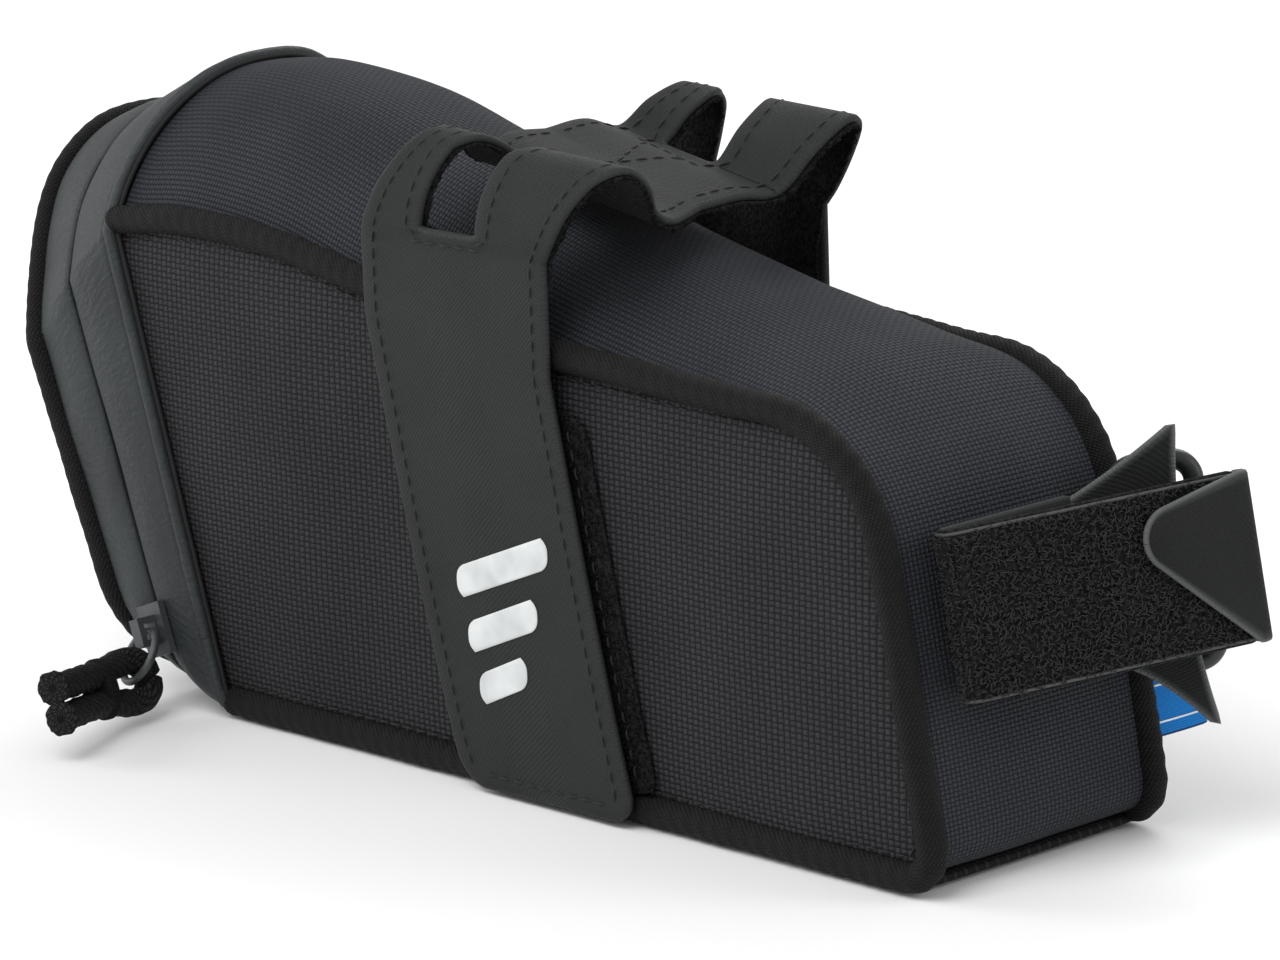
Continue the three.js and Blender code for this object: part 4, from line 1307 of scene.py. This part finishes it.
def wing_mark(name, side):
    """A plain reflective mark: three slanted bars that shorten downwards."""
    skin = Skin()
    for k, (low, length) in enumerate(((35, 21), (25.5, 16), (16.5, 11))):
        rows = []
        for z_share in np.linspace(0, 1, 12):
            z = low + 5.2 * z_share
            row = []
            for share in np.linspace(0, 1, 24):
                cap = 1.4 * (abs(z_share - 0.5) * 2) ** 3
                x = -19.5 + 2.2 * k + cap + (length - 2 * cap) * share
                height = z + 0.34 * (share - 0.5) * length
                y = side * (float(half_width(x)) + WING_STAND + STRAP + 0.07)
                row.append((x, y, height))
            rows.append(row)
        points = np.array(rows)
        skin.merge(thick(grid(points if side < 0 else points[:, ::-1]), 0.12, 1))
    finish_piece(skin.piece(f"wing_mark_{name}", "reflective"), f"wing_{name}")


def fastening_patch(kind, name, side):
    """Hook patch on a wing or loop patch on the side panel, with its pile showing at the edges."""
    wider, low, high, stand, depth = {"hook": (2.5, 6, 62, 2.0, 0.8), "loop": (-3.5, 5.2, 63, 0.6, 0.9)}[kind]
    rows = []
    corner = 3.0
    for z in np.linspace(low, high, 70):
        rear, front = wing_sides(z)
        cut = corner_cut(corner, max(0.0, corner - min(z - low, high - z)))
        x = np.linspace(rear + wider + cut, front - wider - cut, 30)
        y = side * (half_width(x) + stand + depth / 2)
        rows.append(np.stack([x, y, np.full(30, z)], -1))
    points = np.array(rows)
    out = side if kind == "loop" else -side
    facing = points if out < 0 else points[:, ::-1]
    body = "bag" if kind == "loop" else f"wing_{name}"
    node = f"{kind}_patch_{name}"
    made = thick(grid(facing), depth * 0.7).piece(node, "hook_loop")
    finish_piece(made, body, node)
    if kind == "hook":
        return
    skin = Skin()

    def at_edge(u, v):
        row = points[min(69, int(u * 70))]
        edge = row[0] if v < 0.5 else row[-1]
        inner = row[15]
        share = (v * 2 % 1) * 0.22
        return edge + (inner - edge) * share + np.array([0, side * 0.25, 0]), np.array([0.0, side, 0.0])

    tufts(skin, at_edge, 1500, 11 + side, 0.42)
    finish_piece(skin.piece(f"loop_pile_{name}", "hook_loop"), body)
    row = Skin()
    line = points[2:-2, 27] + np.array([0, side * 0.7, 0])
    stitch_row(row, line, np.tile([0.0, side, 0.0], (len(line), 1)), 2.0, 0.9, 0.22)
    finish_piece(row.piece(f"loop_patch_stitches_{name}", "thread"), body)


# ---------------------------------------------------------------- strap for the seatpost

POST_MIDDLE = (POST_LOW + POST_HIGH) / 2
FACE_UP = np.array([-math.sin(FRONT_LEAN), 0, math.cos(FRONT_LEAN)])
FACE_OUT = np.array([math.cos(FRONT_LEAN), 0, math.sin(FRONT_LEAN)])


def on_face(d, y, h):
    """A place d in front of the bag's front face, y to the left and h up along the face."""
    d, y, h = np.broadcast_arrays(np.asarray(d, float), np.asarray(y, float), np.asarray(h, float))
    return (np.array([FRONT_X, 0, 0]) + d[..., None] * FACE_OUT + h[..., None] * FACE_UP
            + y[..., None] * np.array([0.0, 1.0, 0.0]))


def along_face(path, low, high, steps, cols=26):
    """Webbing on edge in front of the face: its path as (d, y) pairs, from low to high."""
    line = even(catmull(path, np.linspace(0, 1, 240)), steps)
    heights = np.linspace(low, high, cols)
    return np.array([on_face(np.full(cols, d), np.full(cols, y), heights) for d, y in line])


FAR_END = np.array([20.0, 28.0])
LAYER = unit(FAR_END - np.array([11.5, 1.5]))
LAYER_OUT = np.array([LAYER[1], -LAYER[0]])


def on_layer(t, stand, h):
    """A place on the strap's free end: t past its end, stand off its pile side, h up."""
    spot = FAR_END + LAYER * t + LAYER_OUT * stand
    return on_face(spot[0], spot[1], h)


def post_strap():
    """The webbing round the seatpost: its back, and the front half with its pile and worn edges."""
    back = along_face([(1.3, 11.5), (1.3, -2), (1.3, -13.2), (1.55, -15.6), (2.1, -16.4)],
                      POST_LOW, POST_HIGH, 46)
    made = thick(grid(back), STRAP).piece("post_strap_back", "strap_face")
    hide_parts("post_strap_back")
    fold = dict(start=on_face(1.9, -15.2, POST_MIDDLE) * MM, end=on_face(5.6, -15.2, POST_MIDDLE) * MM)
    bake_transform(made)

    steps, cols = 90, 26
    front = along_face([(2.1, -16.4), (2.8, -17.1), (4.0, -17.5), (5.6, -16.9), (8.4, -8), (11.5, 1.5),
                        (15.6, 14.8), (19.95, 27.85)], POST_LOW, POST_HIGH, steps, cols)[:, ::-1]
    pile_side = thick(grid(front), STRAP).piece("post_strap_front", "hook_loop")
    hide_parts("post_strap_front")
    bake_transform(pile_side)
    normals = surface_normals(front)
    if normals[40, 10].dot(FACE_OUT) < 0:
        normals = -normals
    skin = Skin()

    def on_pile(u, v):
        i = min(steps - 1, int(u * steps))
        j = min(cols - 1, int((0.02 + 0.96 * v) * cols))
        nudge = FACE_UP * ((v * cols) % 1 - 0.5) * 0.9
        return front[i, j] + normals[i, j] * (STRAP / 2 - 0.05) + nudge, normals[i, j]

    tufts(skin, on_pile, 4200, 3, 0.5)
    curls = skin.piece("post_strap_pile", "pile_thread")
    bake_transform(curls)

    edges = Skin()
    for j in (0, cols - 1):
        edges.merge(tube_skin(front[:, j] + normals[:, j] * (STRAP / 2 - 0.1), 0.26, 8))
    binding = edges.piece("post_strap_edges", "worn_edge")
    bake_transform(binding)


def post_tip():
    """The hook tip, folded back over the pile, narrowing to a round nose."""
    length, nose, slope = 17.0, 4.4, 0.22
    nose_reach = length - nose
    nose_middle = POST_HIGH - slope * nose_reach - nose * math.hypot(1, slope)
    far_distance = math.hypot(nose_reach, nose_middle - POST_LOW)
    climb = math.atan2(nose_middle - POST_LOW, nose_reach) - math.asin(nose / far_distance)
    lowest = nose_reach + nose * math.sin(climb)
    highest = nose_reach + nose * math.sin(math.atan(slope))
    radius = 0.97
    path = [(0.0, 0.0)]
    for angle in np.radians(np.linspace(-90, 90, 14)):
        path.append((0.35 + 1.1 * math.cos(angle), radius + radius * math.sin(angle)))
    round_nose = nose_reach + nose * np.sin(np.linspace(0.05, 1.56, 22))
    path += [(-reach, 2 * radius) for reach in [*np.linspace(0, nose_reach, 34), *round_nose]]
    rows = []
    for t, stand in path:
        reach = max(0.0, -t) if stand > radius else 0.0
        chord = math.sqrt(max(0.0, nose**2 - (reach - nose_reach) ** 2))
        high = POST_HIGH - slope * reach if reach < highest else nose_middle + chord
        low = POST_LOW + math.tan(climb) * reach if reach < lowest else nose_middle - chord
        curl = 0.25 * (reach / length) ** 2
        rows.append([on_layer(t, stand + curl, h) for h in np.linspace(low, high, 22)])
    tip = thick(grid(np.array(rows)), STRAP - 0.1).piece("post_strap_tip", "strap_tip")
    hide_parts("post_strap_tip")
    on_layer(0, 0.15, POST_MIDDLE) * MM
    on_layer(0, 1.9, POST_MIDDLE) * MM
    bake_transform(tip)


def strap_tab():
    """The flared tab that covers the ring, with a hollow end."""
    angle = math.radians(43)
    length = 16.5
    rows = []
    for t in np.linspace(0, 1, 34):
        reach = length * t
        low = (1 - t) ** 2 * (POST_LOW + 0.5) + 2 * t * (1 - t) * (POST_LOW - 1) + t * t * 17
        high = (1 - t) ** 2 * (POST_HIGH - 0.5) + 2 * t * (1 - t) * (POST_HIGH + 3) + t * t * 62.5
        row = []
        for v in np.linspace(0, 1, 40):
            hollow = 1.5 * t * t * (2 * v - 1) ** 2
            bite = 1.8 * t * (1 - (2 * v - 1) ** 2)
            row.append(on_face(1.5 + (reach - bite) * math.sin(angle) + hollow * 0.5,
                               12 + (reach - bite) * math.cos(angle) - hollow * 0.3, low + (high - low) * v))
        rows.append(row)
    tab = thick(grid(np.array(rows)[:, ::-1]), STRAP).piece("strap_tab", "strap_tip")
    finish_piece(tab, "bag", "strap_tab")


def post_ring():
    """The ring that the seatpost strap passes through, and the webbing that holds it."""
    angle = math.radians(42)
    pivot = (3.0, 20.4, POST_MIDDLE)
    pitch, half, radius = 12.0, 15.6, 3.4
    outline = []
    for cx, cz, start in ((pitch - radius, half - radius, 0), (radius, half - radius, 90),
                          (radius, -half + radius, 180), (pitch - radius, -half + radius, 270)):
        for a in np.radians(np.linspace(start, start + 90, 12)):
            outline.append((cx + radius * math.cos(a), cz + radius * math.sin(a)))
    points = [on_face(pivot[0] + t * math.sin(angle), pivot[1] + t * math.cos(angle), pivot[2] + h)
              for t, h in even_loop(np.array(outline), 160)]
    made = tube_skin(points, 1.6, 18, closed=True).piece("strap_ring", "ring_plastic")
    finish_piece(made, "ring", "strap_ring")

    wrap = []
    for k in range(9):
        turn = (-0.62 + 1.24 * k / 8) * math.pi
        wrap.append((pivot[0] + 2.55 * math.sin(turn), pivot[1] + 2.55 * math.cos(turn)))
    path = [(-0.95, 14.5), (-0.85, 18)] + wrap + [(2.7, 17), (0.9, 15)]
    strip = along_face(path, pivot[2] - 9, pivot[2] + 9, 70, 24)
    keeper = thick(grid(strip), 0.7).piece("ring_keeper", "webbing")
    finish_piece(keeper, "bag", "ring_keeper")


def side_label():
    """The small label in the far seam, with two plain lines on each face."""
    seam_y = float(half_width(76)) + PIPING + 0.4
    low, high = 14.5, 24
    rows = []
    for share in np.linspace(0, 1, 26):
        y = seam_y + (37 - seam_y) * share
        bend = 0.35 * math.sin(share * 2.4)
        rows.append([on_face(-1.9 + bend, y, h) for h in np.linspace(low, high, 22)])
    points = np.array(rows)
    made = thick(grid(points), 0.8).piece("side_label", "label_cloth")
    finish_piece(made, "bag", "side_label")
    skin = Skin()
    for h in (16.4, 22.1):
        for out in (0.47, -0.47):
            line = []
            for row in points:
                above = row[10] @ FACE_UP - row[0] @ FACE_UP - (h - low)
                line.append(row[10] - FACE_UP * above + FACE_OUT * out)
            skin.merge(tube_skin(line, 0.16, 6))
    finish_piece(skin.piece("side_label_lines", "label_line"), "bag")


# ---------------------------------------------------------------- the scene

materials = make_materials()
camera_and_lights()
zip_pull()
cord_wrap()
zip_bail()
dress_cad("zip_slider", "slider_metal", 0.35)
for label, facing in (("right", -1), ("left", 1)):
    side_panel(f"side_panel_{label}", facing)
    side_piping(f"piping_{label}", facing)
    rail_strap(label, facing)
    wing_mark(label, facing)
    fastening_patch("hook", label, facing)
    fastening_patch("loop", label, facing)
top_front_panel()
base_panel()
seam_stitches()
mouth_and_lid()
zip_parts()
hinge_tape()
lid_face()
light_loop()
post_strap()
post_tip()
strap_tab()
post_ring()
side_label()
dress_cad("base_stiffener", "stiffener", 0.3)

FLOOR_REACH = 6  # metres
FLOOR_BELOW = 0.6  # millimetres under the base plane
corners = [(x * FLOOR_REACH, y * FLOOR_REACH, 0) for x, y in ((-1, -1), (1, -1), (1, 1), (-1, 1))]
floor_mesh = bpy.data.meshes.new("floor")
floor_mesh.from_pydata(corners, [], [(0, 1, 2, 3)])
floor = bpy.data.objects.new("floor", floor_mesh)
floor.location.z = -FLOOR_BELOW * MM
pale = Shader("pale_floor", 0.9)
pale.surface.inputs["Base Color"].default_value = (0.9, 0.9, 0.9, 1)
floor_mesh.materials.append(pale.material)
bpy.context.scene.collection.objects.link(floor)
